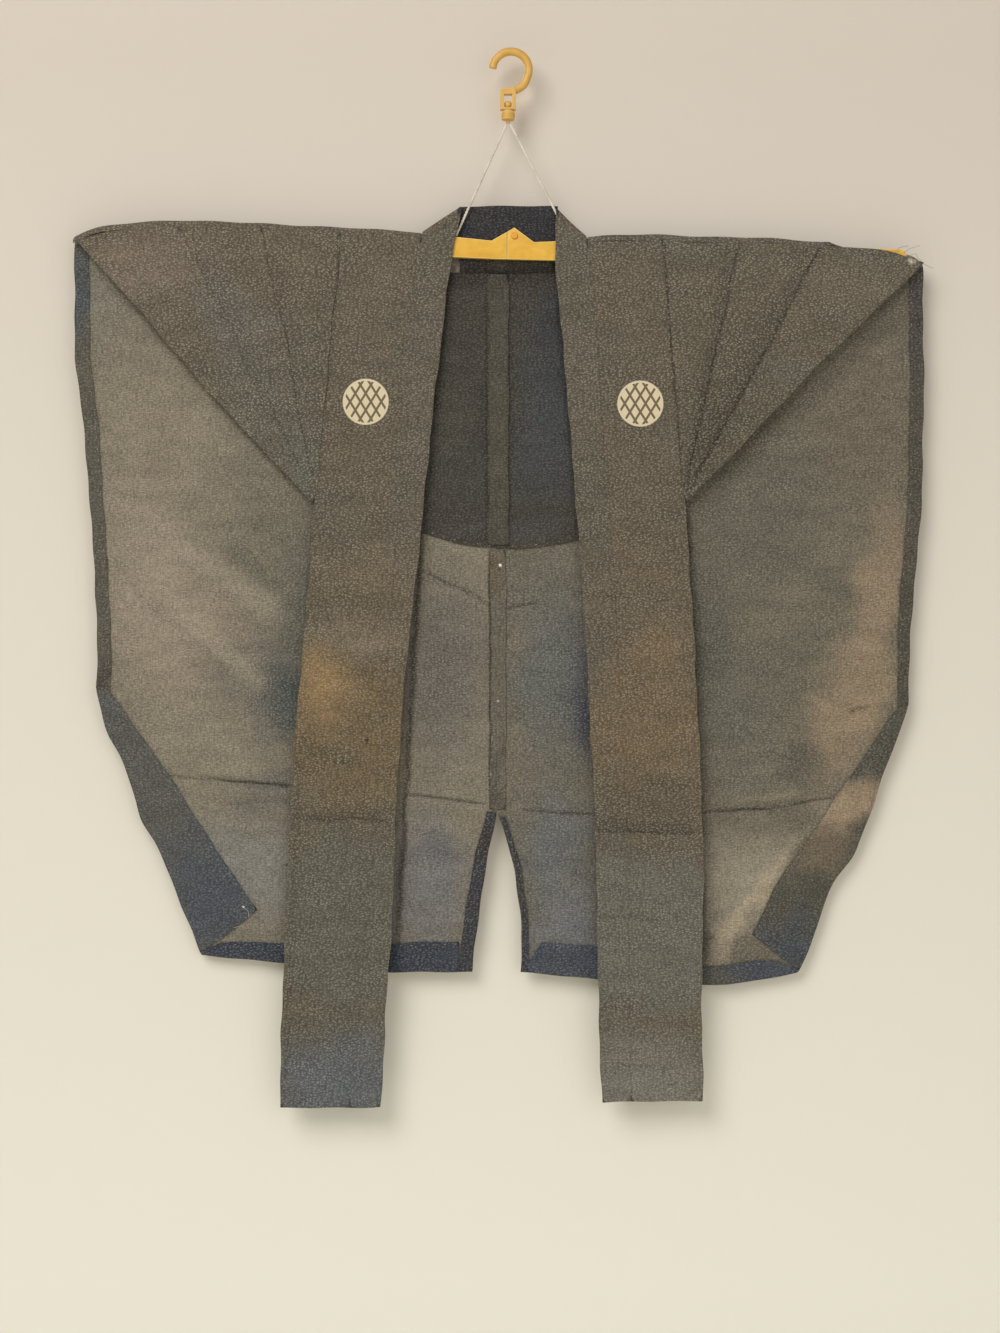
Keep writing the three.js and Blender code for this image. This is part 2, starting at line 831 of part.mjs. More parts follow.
// A layer that lies on the inner face of the back, between two edges
function lyingLayer(side, edgeA, edgeB, drops, columns, under) {
  const grid = (lift) =>
    drops.map((drop) => {
      const a = along(edgeA, drop);
      const b = along(edgeB, drop);
      return steps(columns, (across) => {
        const out = blend(a.out, b.out, across);
        const down = blend(a.down, b.down, across);
        return place(side, out, down, backDepth(SIGN[side] * out, down) - under - lift);
      });
    });
  return wall(grid(LYING_GAP + HEM_CLOTH), grid(LYING_GAP));
}

const HEM_ROWS = { side: 14, foot: 12, vent: 8 };
const FLAP_ROWS = 12;
const FLAP_COLUMNS = 4;

// Turned hem down each side
for (const side of SIDES) {
  const { from, to } = SIDE_HEM_ENDS[side];
  const outer = cutEdge(BACK_OUTER_EDGE[side], from, to);
  const hem = lyingLayer(side, outer, SIDE_HEM_EDGE[side], evenly(HEM_ROWS.side), 1, 0);
  addMesh(`side_hem_${side}`, hem, CLOTH_NAVY);
}

// Turned corner at the foot of each wing
for (const side of SIDES) {
  const { from, to } = FLAP_ENDS[side];
  const outer = cutEdge(BACK_OUTER_EDGE[side], from, to);
  const flap = lyingLayer(side, outer, FLAP_EDGE[side], evenly(FLAP_ROWS), FLAP_COLUMNS, 0);
  addMesh(`corner_flap_${side}`, flap, CLOTH_NAVY);
}

// Turned hem along the foot
for (const side of SIDES) {
  const inner = BOTTOM_HEM[side].map((row) => ({ out: row.out, down: row.inner }));
  const outer = BOTTOM_HEM[side].map((row) => ({ out: row.out, down: row.outer }));
  const hem = lyingLayer(side, outer, inner, evenly(HEM_ROWS.foot), 1, 0);
  addMesh(`bottom_hem_${side}`, hem, CLOTH_NAVY);
}

// Turned hem up each side of the vent
for (const side of SIDES) {
  const edge = VENT_HEM[side].map((row) => ({ out: row.edge, down: row.down }));
  const inner = VENT_HEM[side].map((row) => ({ out: row.inner, down: row.down }));
  const hem = lyingLayer(side, edge, inner, evenly(HEM_ROWS.vent), 1, 0);
  addMesh(`vent_hem_${side}`, hem, CLOTH_NAVY);
}

// Shoulder lining, with a round lower edge
const LINING_COLUMNS = 10;
const LINING_ROWS = 6;

function liningGrid(lift) {
  return steps(LINING_ROWS, (drop) =>
    steps(LINING_COLUMNS, (across) => {
      const x = blend(-LINING_HALF_WIDTH, LINING_HALF_WIDTH, across);
      const arc = LINING_ARC_RADIUS - Math.sqrt(LINING_ARC_RADIUS ** 2 - x ** 2);
      const down = blend(NECK_FACING_DOWN + SEAM_GAP, LINING_END_DOWN - arc, drop);
      return new THREE.Vector3(x, backDepth(x, down) - lift, -down);
    }),
  );
}

addMesh("shoulder_lining", wall(liningGrid(LYING_GAP + CLOTH), liningGrid(LYING_GAP)), CLOTH_NAVY);

for (const row of ALLOWANCES) {
  const edge = (x) => [
    { out: x, down: row.from },
    { out: x, down: row.to },
  ];
  const under = row.onLining ? LYING_GAP + CLOTH : 0;
  const length = row.to - row.from;
  const backRows = BACK_ROWS.map((drop) => along(BACK_INNER_EDGE.right, drop).down)
    .map((down) => (down - row.from) / length)
    .filter((drop) => drop > 0 && drop < 1);
  const layer = lyingLayer("left", edge(row.left), edge(row.right), [0, ...backRows, 1], 1, under);
  addMesh(row.name, layer, CLOTH_INSIDE);
}

// Hook of the hanger: a round rod bent into most of a circle, in one piece with a frame below it
const HOOK_CENTRE = { x: 0.6, down: HOOK_RADIUS - ROD_DIAMETER / 2 };
const HOOK_TIP_ANGLE = 175;
const HOOK_END_ANGLE = -30;
const HOOK_BENDS = 12;
const ROD_SIDES = 10;
const ROD_STEPS = 30;
const HOOK_ROOT = [
  { x: 11.7, down: 23 },
  { x: 6.8, down: 26.8 },
  { x: 1, down: 29 },
];

function roundSection(diameter, sides) {
  const corners = Array.from({ length: sides }, (unused, i) => {
    const angle = (i / sides) * 2 * Math.PI;
    return new THREE.Vector2(Math.cos(angle), Math.sin(angle)).multiplyScalar(diameter / 2);
  });
  return new THREE.Shape(corners);
}

function tube(points, diameter, sides, count) {
  const path = new THREE.CatmullRomCurve3(points);
  const section = roundSection(diameter, sides);
  return new THREE.ExtrudeGeometry(section, { steps: count, extrudePath: path, bevelEnabled: false });
}

function hookRod() {
  const points = steps(HOOK_BENDS, (turn) => {
    const angle = THREE.MathUtils.degToRad(blend(HOOK_TIP_ANGLE, HOOK_END_ANGLE, turn));
    const x = HOOK_CENTRE.x + HOOK_RADIUS * Math.cos(angle);
    const down = HOOK_CENTRE.down - HOOK_RADIUS * Math.sin(angle);
    return new THREE.Vector3(x, 0, -down);
  });
  points.push(...HOOK_ROOT.map(({ x, down }) => new THREE.Vector3(x, 0, -down)));
  return tube(points, ROD_DIAMETER, ROD_SIDES, ROD_STEPS);
}

// A plate from its outline as seen from the front
function plate(shape, thickness) {
  const made = new THREE.ExtrudeGeometry(shape, { depth: thickness, bevelEnabled: false });
  return made.rotateX(Math.PI / 2).translate(0, thickness / 2, 0);
}

function outline(corners) {
  return new THREE.Shape(corners.map(({ x, down }) => new THREE.Vector2(x, -down)));
}

const FRAME = { left: -8.1, right: 4.8, topLeft: 27.6, topRight: 26.4, foot: 44.2 };
const WINDOW = { left: -4.8, right: 1.8, top: 31.7, foot: 42.4 };

function hookFrame() {
  const shape = outline([
    { x: FRAME.left, down: FRAME.topLeft },
    { x: FRAME.left, down: FRAME.foot },
    { x: FRAME.right, down: FRAME.foot },
    { x: FRAME.right, down: FRAME.topRight },
  ]);
  const window = outline([
    { x: WINDOW.left, down: WINDOW.top },
    { x: WINDOW.right, down: WINDOW.top },
    { x: WINDOW.right, down: WINDOW.foot },
    { x: WINDOW.left, down: WINDOW.foot },
  ]);
  shape.holes.push(window);
  return plate(shape, BLOCK_THICKNESS);
}

addMesh("hanger_hook", joined([hookRod(), hookFrame()]), HANGER_PLASTIC);

// A round piece under the hook, from a table of its radius by height
const SWIVEL_X = (FRAME.left + FRAME.right) / 2;
const SWIVEL_SIDES = 14;

function turned(profile) {
  const ends = [profile[0], profile.at(-1)];
  const points = [
    new THREE.Vector2(0, -ends[0].down),
    ...profile.map(({ radius, down }) => new THREE.Vector2(radius, -down)),
    new THREE.Vector2(0, -ends[1].down),
  ];
  const made = new THREE.LatheGeometry(points, SWIVEL_SIDES).rotateX(Math.PI / 2);
  return outward(made.translate(SWIVEL_X, 0, 0));
}

// Head of the swivel in the window, and the barrel that turns below the frame
const SWIVEL_HEAD = [
  { radius: 1.8, down: WINDOW.foot - 5.4 },
  { radius: 3, down: WINDOW.foot - 3.8 },
  { radius: 3, down: WINDOW.foot - 1.6 },
  { radius: 2.2, down: WINDOW.foot - SEAM_GAP },
];
const BARREL_NECK = BARREL_RADIUS - 0.9;
const STRING_EYE_RADIUS = 1.7;
const BARREL = [
  { radius: BARREL_NECK, down: FRAME.foot + SEAM_GAP },
  { radius: BARREL_NECK, down: FRAME.foot + 1.7 },
  { radius: BARREL_RADIUS, down: FRAME.foot + 2.1 },
  { radius: BARREL_RADIUS, down: BARREL_END_DOWN - 0.6 },
  { radius: BARREL_NECK, down: BARREL_END_DOWN },
  { radius: STRING_EYE_RADIUS, down: BARREL_END_DOWN + 0.1 },
  { radius: STRING_EYE_RADIUS, down: STRING_EYE_DOWN },
];

addMesh("hanger_swivel_head", turned(SWIVEL_HEAD), HANGER_PLASTIC);
addMesh("hanger_barrel", turned(BARREL), HANGER_PLASTIC);

// Folding arms, joined under a gable by a pin
const GABLE = { apexX: 3.6, apexDown: 139.6 };
const ARM_OUTLINE = {
  right: [
    { out: 14.9, top: 150.2, foot: 164.9 },
    { out: 44, top: 147.2, foot: 163.6 },
    { out: 66, top: 149.5, foot: 162.8 },
    { out: 90, top: 148.6, foot: 161.8 },
    { out: 130, top: 145.4, foot: 160.2 },
    { out: 250, top: 141.5, foot: 155.5 },
    { out: 328, top: 140.6, foot: 152 },
  ],
  left: [
    { out: 19.3, top: 151.4, foot: 165.9 },
    { out: 36, top: 150.8, foot: 166.6 },
    { out: 250, top: 156.4, foot: 171.2 },
    { out: 321, top: 157.2, foot: 169.4 },
  ],
};
const PIN_DIAMETER = 5.5;
const PIN_DOWN = 146.4;
const PIN_HEAD = 0.8;
const PIN_SIDES = 16;
const ROUND_END_STEPS = 6;

// The gable runs up from the right arm's first corner and down to the left arm's
function gableTop(x) {
  const foot = ARM_OUTLINE.right[0];
  return blend(foot.top, GABLE.apexDown, (x + foot.out) / (GABLE.apexX + foot.out));
}

function arm(side) {
  const joint = ARM_JOINT_X + (SIGN[side] * SEAM_GAP) / 2;
  const rows = ARM_OUTLINE[side];
  const end = rows.at(-1);
  const round = (end.foot - end.top) / 2;
  const roundEnd = steps(ROUND_END_STEPS, (turn) => ({
    x: SIGN[side] * (end.out - round * (1 - Math.sin(turn * Math.PI))),
    down: end.top + round * (1 - Math.cos(turn * Math.PI)),
  }));
  const inner = rows.slice(0, -1);
  const apex = side === "left" ? [{ x: GABLE.apexX, down: GABLE.apexDown }] : [];
  const corners = [
    { x: joint, down: gableTop(joint) },
    ...apex,
    ...inner.map((row) => ({ x: SIGN[side] * row.out, down: row.top })),
    ...roundEnd,
    ...inner.toReversed().map((row) => ({ x: SIGN[side] * row.out, down: row.foot })),
    { x: joint, down: ARM_JOINT_FOOT },
  ];
  return plate(outline(corners), ARM_THICKNESS);
}

for (const side of SIDES) {
  addMesh(`hanger_arm_${side}`, arm(side), HANGER_PLASTIC);
}

function pin() {
  const head = new THREE.CylinderGeometry(PIN_DIAMETER / 2, PIN_DIAMETER / 2, PIN_HEAD, PIN_SIDES);
  const depth = -ARM_THICKNESS / 2 - SEAM_GAP - PIN_HEAD / 2;
  return head.translate(GABLE.apexX, depth, -PIN_DOWN);
}

addMesh("hanger_pin", pin(), HANGER_PLASTIC);

// Strings from the barrel to the arms
const STRING_SIDES = 8;
const STRING_STEPS = 8;
const STRINGS = {
  right: { from: { x: -2.9, down: 55.9 }, to: { x: -43.8, down: 146 } },
  left: { from: { x: 0.5, down: 55.9 }, to: { x: 49, down: 150 } },
};

for (const side of SIDES) {
  const { from, to } = STRINGS[side];
  const points = evenly(2).map((share) =>
    new THREE.Vector3(blend(from.x, to.x, share), 0, -blend(from.down, to.down, share)),
  );
  addMesh(`hanger_string_${side}`, tube(points, STRING_DIAMETER, STRING_SIDES, STRING_STEPS), STRING_COTTON);
}

export default vest;
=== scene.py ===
import math
from collections import namedtuple

import bmesh
import bpy
import numpy as np
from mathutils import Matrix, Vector
from mathutils.bvhtree import BVHTree


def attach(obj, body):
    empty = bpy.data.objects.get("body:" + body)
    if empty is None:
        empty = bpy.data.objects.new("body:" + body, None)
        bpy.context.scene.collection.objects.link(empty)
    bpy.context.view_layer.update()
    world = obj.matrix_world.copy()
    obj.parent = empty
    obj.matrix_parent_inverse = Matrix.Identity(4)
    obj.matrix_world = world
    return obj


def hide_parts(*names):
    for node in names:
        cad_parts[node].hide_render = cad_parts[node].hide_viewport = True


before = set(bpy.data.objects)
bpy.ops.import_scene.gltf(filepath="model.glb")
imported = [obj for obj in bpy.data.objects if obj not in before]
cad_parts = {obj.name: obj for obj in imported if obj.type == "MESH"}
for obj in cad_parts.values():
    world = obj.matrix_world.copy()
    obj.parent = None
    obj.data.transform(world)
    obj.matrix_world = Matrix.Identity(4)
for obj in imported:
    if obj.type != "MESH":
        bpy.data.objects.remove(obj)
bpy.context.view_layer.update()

# The vest hangs flat in front of a pale backdrop, over a plain pale floor. The backdrop carries
# painted light: it is darker at the top and lighter towards the floor.
# The camera looks at it square on, framed as the photograph is. A soft key light comes from the
# upper left, with a wide pale surround, and a weaker one behind lights the back of the cloth.
MM = 0.001
PHOTO_SCALE = 0.81 * MM  # metres in one pixel of the photograph, at the vest
PHOTO_WIDTH, PHOTO_HEIGHT = 1000, 1333
HOOK_PIXEL = (510, 55.6)  # where the hook hangs in the photograph
CAMERA_DISTANCE = 1.9
BACKDROP_DEPTH = 23 * MM
FLOOR_HEIGHT = -1.5


def rgb(red, green, blue):
    """A colour as seen in the photograph, from 0 to 255, in the shader's own scale."""
    linear = [((c / 255 + 0.055) / 1.055) ** 2.4 for c in (red, green, blue)]
    return (*linear, 1)


# Painted light on the backdrop: a darker top and a lighter foot stand in for how the lamps fall on it.
BACKDROP_SHADED_TOP, BACKDROP_LIT_FOOT = rgb(213, 202, 189), rgb(242, 238, 223)


def placed(name, data):
    """An object in the scene that shows a mesh, a lamp or a camera."""
    made = bpy.data.objects.new(name, data)
    bpy.context.collection.objects.link(made)
    return made


def flat_sheet(name, corners):
    mesh = bpy.data.meshes.new(name)
    mesh.from_pydata(corners, [], [range(len(corners))])
    sheet = placed(name, mesh)
    return sheet


def add_node(tree, kind, sockets=None, **settings):
    """A node with its settings, and its inputs by name, from a value or another socket."""
    node = tree.nodes.new(kind)
    for name, value in settings.items():
        setattr(node, name, value)
    for name, value in (sockets or {}).items():
        if isinstance(value, bpy.types.NodeSocket):
            tree.links.new(value, node.inputs[name])
        else:
            node.inputs[name].default_value = value
    return node


def backdrop_paint_with_painted_light():
    """Pale matt paint with painted light, darker at the top and lighter towards the floor, seen from
    its front only.
    """
    paint = bpy.data.materials.new("backdrop_paint_with_painted_light")
    paint.use_nodes = True
    tree = paint.node_tree
    skin = tree.nodes["Principled BSDF"]
    skin.inputs["Roughness"].default_value = 0.9
    place = add_node(tree, "ShaderNodeTexCoord").outputs["Object"]
    up = add_node(tree, "ShaderNodeSeparateXYZ", {0: place}).outputs["Z"]
    # Painted light: the colour runs from the darker top to the lighter foot.
    drop = add_node(tree, "ShaderNodeMapRange", {"Value": up, "From Min": 0, "From Max": -1})
    tone = add_node(
        tree, "ShaderNodeMix", {0: drop.outputs[0], 6: BACKDROP_SHADED_TOP, 7: BACKDROP_LIT_FOOT},
        data_type="RGBA",
    )
    tree.links.new(tone.outputs[2], skin.inputs["Base Color"])
    clear = add_node(tree, "ShaderNodeBsdfTransparent").outputs[0]
    facing = add_node(tree, "ShaderNodeNewGeometry").outputs["Backfacing"]
    sides = add_node(tree, "ShaderNodeMixShader", {0: facing, 1: skin.outputs[0], 2: clear})
    tree.links.new(sides.outputs[0], tree.nodes["Material Output"].inputs["Surface"])
    return paint


backdrop_reach, floor_reach = 3, 4
backdrop = flat_sheet("backdrop", [
    (-backdrop_reach, BACKDROP_DEPTH, FLOOR_HEIGHT),
    (backdrop_reach, BACKDROP_DEPTH, FLOOR_HEIGHT),
    (backdrop_reach, BACKDROP_DEPTH, -FLOOR_HEIGHT),
    (-backdrop_reach, BACKDROP_DEPTH, -FLOOR_HEIGHT),
])
floor = flat_sheet("floor", [
    (-floor_reach, -floor_reach, FLOOR_HEIGHT),
    (floor_reach, -floor_reach, FLOOR_HEIGHT),
    (floor_reach, floor_reach, FLOOR_HEIGHT),
    (-floor_reach, floor_reach, FLOOR_HEIGHT),
])
for sheet in (backdrop, floor):
    sheet.data.materials.append(backdrop_paint_with_painted_light())
# The backdrop stands close behind the vest, so it lets light through to the back of the cloth.
backdrop.visible_shadow = False
backdrop.visible_diffuse = False

lens = bpy.data.cameras.new("camera")
lens.sensor_width = 36
lens.lens = lens.sensor_width * CAMERA_DISTANCE / (PHOTO_HEIGHT * PHOTO_SCALE)
camera = placed("camera", lens)
camera.location = (
    (PHOTO_WIDTH / 2 - HOOK_PIXEL[0]) * PHOTO_SCALE,
    -CAMERA_DISTANCE,
    (HOOK_PIXEL[1] - PHOTO_HEIGHT / 2) * PHOTO_SCALE,
)
camera.rotation_euler = (math.radians(90), 0, 0)
bpy.context.scene.camera = camera


def soft_light(name, place, aim, size, power, colour):
    lamp = bpy.data.lights.new(name, "AREA")
    lamp.shape = "DISK"
    lamp.size = size
    lamp.energy = power
    lamp.color = colour
    light = placed(name, lamp)
    light.location = place
    light.rotation_euler = (Vector(aim) - Vector(place)).to_track_quat("-Z", "Y").to_euler()


vest_middle = (0, 0, -0.45)
soft_light("key", (-1.25, -2.5, 1.35), vest_middle, 2, 58, (1, 0.99, 0.97))
soft_light("fill", (0.9, -2.6, -0.2), vest_middle, 2.4, 13, (1, 0.99, 0.98))
soft_light("behind", (-0.8, 2.6, 0.9), vest_middle, 1.6, 45, (1, 0.99, 0.98))
surround = bpy.data.worlds.new("surround")
surround.use_nodes = True
surround.node_tree.nodes["Background"].inputs["Color"].default_value = (1, 0.99, 0.97, 1)
surround.node_tree.nodes["Background"].inputs["Strength"].default_value = 0.34
bpy.context.scene.world = surround
bpy.context.scene.view_settings.view_transform = "Standard"

# Body of the vest, right and left: one loom width of plain hemp each, seen from its wrong side
# inside the wings. It is sewn down the centre back, folds over the hanger at the shoulder and
# hangs free at the sides. It was stored folded, so a crease runs across it above the hem.
Crease = namedtuple("Crease", "x1 down1 x2 down2 width height")  # millimetres, towards the viewer
Patch = namedtuple("Patch", "x down wide high turn soft colour share")  # millimetres and degrees
Stroke = namedtuple("Stroke", "x1 down1 x2 down2 width colour share")  # millimetres

PRESSED_BACK = [
    Crease(-282, 584, -228, 587, 2.2, -1.1),
    Crease(-240, 586, -172, 594, 2.2, -2.2),
    Crease(-90, 598, -16, 607, 2, -1.7),
    Crease(4, 610, 74, 617, 2, -1.6),
    Crease(154, 614, 214, 610, 2.2, -2.2),
    Crease(205, 611, 272, 600, 2.2, -1.6),
]
BACK_CREASES = PRESSED_BACK + [
    Crease(-244, 594, -168, 601, 7, 2),
    Crease(-238, 607, -170, 603, 4, -0.9),
    Crease(-88, 606, -20, 615, 8, 1.6),
    Crease(172, 602, 250, 592, 9, 1.7),
    Crease(156, 624, 240, 618, 8, 1.3),
    Crease(-74, 412, -15, 444, 4, -2),
    Crease(-70, 424, -20, 452, 9, 1.5),
    Crease(-10, 449, 22, 442, 3.5, -1.8),
    Crease(12, 430, 60, 402, 12, 1),
    Crease(-60, 500, -18, 496, 7, -0.9),
    Crease(-318, 372, -196, 462, 14, 2.2),
    Crease(-326, 414, -186, 524, 12, -2.2),
    Crease(-304, 458, -200, 556, 12, 2),
    Crease(-268, 326, -176, 392, 14, -1.9),
    Crease(-246, 492, -176, 540, 8, -1.7),
    Crease(-330, 250, -268, 330, 18, 1.7),
    Crease(-262, 286, -196, 330, 12, 1.5),
    Crease(235, 622, 158, 738, 8, 2.2),
    Crease(222, 614, 150, 716, 9, -1.7),
    Crease(300, 430, 232, 560, 14, 2.1),
    Crease(318, 470, 262, 588, 11, -1.9),
    Crease(180, 400, 262, 470, 15, -1.8),
    Crease(200, 300, 300, 392, 18, 1.7),
    Crease(160, 470, 210, 560, 13, 1.6),
    Crease(238, 548, 296, 520, 7, -1.2),
    Crease(-70, 650, -30, 735, 10, 1.2),
    Crease(-48, 640, -22, 700, 8, -1),
    Crease(40, 640, 62, 742, 12, 1.3),
    Crease(14, 650, 34, 720, 8, -1),
    Crease(-270, 618, -200, 700, 10, 1.5),
]


def meet(low, high, value):
    """0 below low, 1 above high and smooth between them."""
    share = np.clip((value - low) / (high - low), 0, 1)
    return share * share * (3 - 2 * share)


def creased(x, down, creases):
    """Height of troughs and ridges at places on the cloth, in millimetres towards the viewer."""
    height = np.zeros_like(x)
    for row in creases:
        reach = math.hypot(row.x2 - row.x1, row.down2 - row.down1)
        run_x, run_down = (row.x2 - row.x1) / reach, (row.down2 - row.down1) / reach
        run = ((x - row.x1) * run_x + (down - row.down1) * run_down) / reach
        wander = 0.25 * row.width * np.sin(7 * run + row.x1)
        aside = (x - row.x1) * run_down - (down - row.down1) * run_x + wander
        ends = meet(0, 0.25, run) * meet(0, 0.2, 1 - run)
        height += row.height * ends * np.exp(-((aside / row.width) ** 2))
    return height


def rippled(x, down):
    """The slack of hanging cloth: long low waves that change from place to place."""
    slow = np.sin(x / 43 + down / 71) + 0.7 * np.sin(x / 27 - down / 95 + 1.3)
    quick = np.sin(x / 11.5 + down / 37 + 0.6) * np.sin(down / 29 - x / 83)
    return 0.6 * slow + 0.3 * quick


def hand_sewn(x, down):
    """Small sideways and downward unevenness that all pieces share, so seams still meet."""
    aside = 0.35 * np.sin(down / 6.1 + x / 33) + 0.3 * np.sin(down / 13.7 - x / 19)
    along = 0.35 * np.sin(x / 7.3 + down / 41) + 0.25 * np.sin(x / 15.1 - down / 23)
    return aside, along


SEAM_REACH = 0.45  # how far a piece's edge reaches into the seam beside it
FREE_FROM, FREE_AT = 152, 205  # down from the hook: where cloth leaves the hanger, and hangs free
TUCK = 0.3  # how far a fold over the hanger lies under the front that is sewn to it


def hang(mesh, creases, tucked):
    """Closes the seams and lets cloth hang by its creases and slack, below the hanger's fold."""
    points = np.empty(len(mesh.vertices) * 3)
    normals = np.empty(len(mesh.vertices) * 3)
    mesh.vertices.foreach_get("co", points)
    mesh.vertices.foreach_get("normal", normals)
    points, normals = points.reshape(-1, 3) / MM, normals.reshape(-1, 3)
    edgewise = np.hypot(normals[:, 0], normals[:, 2])
    rim = (edgewise > 0.4) & (edgewise < 0.9)
    points[rim, 0] += SEAM_REACH * normals[rim, 0] / edgewise[rim]
    points[rim, 2] += SEAM_REACH * normals[rim, 2] / edgewise[rim]
    x, down = points[:, 0].copy(), -points[:, 2].copy()
    if tucked:
        points[:, 1] += TUCK * meet(2, 3, -points[:, 1])
    free = meet(FREE_FROM, FREE_AT, down)
    aside, along = hand_sewn(x, down)
    points[:, 0] += aside
    points[:, 2] += along
    points[:, 1] -= free * (creased(x, down, creases) + rippled(x, down))
    mesh.vertices.foreach_set("co", (points * MM).ravel())


def cloth_on(node, levels, creases, pressed=(), tucked=False):
    """A finer cloth on the form of its solid: smooth between its corners, crisp at its edges."""
    cage = bmesh.new()
    cage.from_mesh(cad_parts[node].data)
    bmesh.ops.remove_doubles(cage, verts=cage.verts, dist=0.01 * MM)
    bmesh.ops.join_triangles(
        cage, faces=cage.faces, angle_face_threshold=0.7, angle_shape_threshold=math.pi
    )
    crisp = cage.edges.layers.float.new("crease_edge")
    for edge in cage.edges:
        if edge.calc_face_angle(0) > math.radians(50):
            edge[crisp] = 1
    cornered = cage.verts.layers.float.new("crease_vert")
    for vert in cage.verts:
        runs = [
            (edge.other_vert(vert).co - vert.co).normalized() for edge in vert.link_edges
            if edge[crisp] and edge.calc_length() > 2 * MM
        ]
        if len(runs) == 2 and runs[0].angle(runs[1]) < math.radians(150):
            vert[cornered] = 1
    for row in pressed:
        across = Vector((row.down2 - row.down1, 0, row.x2 - row.x1)).normalized()
        start = Vector((row.x1, 0, -row.down1)) * MM
        for step in (-1.6, 0, 1.6):
            whole = cage.verts[:] + cage.edges[:] + cage.faces[:]
            bmesh.ops.bisect_plane(
                cage, geom=whole, dist=0.02 * MM, plane_co=start + step * row.width * MM * across,
                plane_no=across,
            )
    coarse = bpy.data.meshes.new("coarse")
    cage.to_mesh(coarse)
    cage.free()
    rough = placed("rough", coarse)
    finer = rough.modifiers.new("finer", "SUBSURF")
    finer.levels = finer.render_levels = levels
    smooth = rough.evaluated_get(bpy.context.evaluated_depsgraph_get())
    mesh = bpy.data.meshes.new_from_object(smooth)
    bpy.data.objects.remove(rough)
    hang(mesh, creases, tucked)
    mesh.materials.clear()
    mesh.shade_smooth()
    mesh.set_sharp_from_angle(angle=math.radians(60))
    return placed(f"{node}_cloth", mesh)


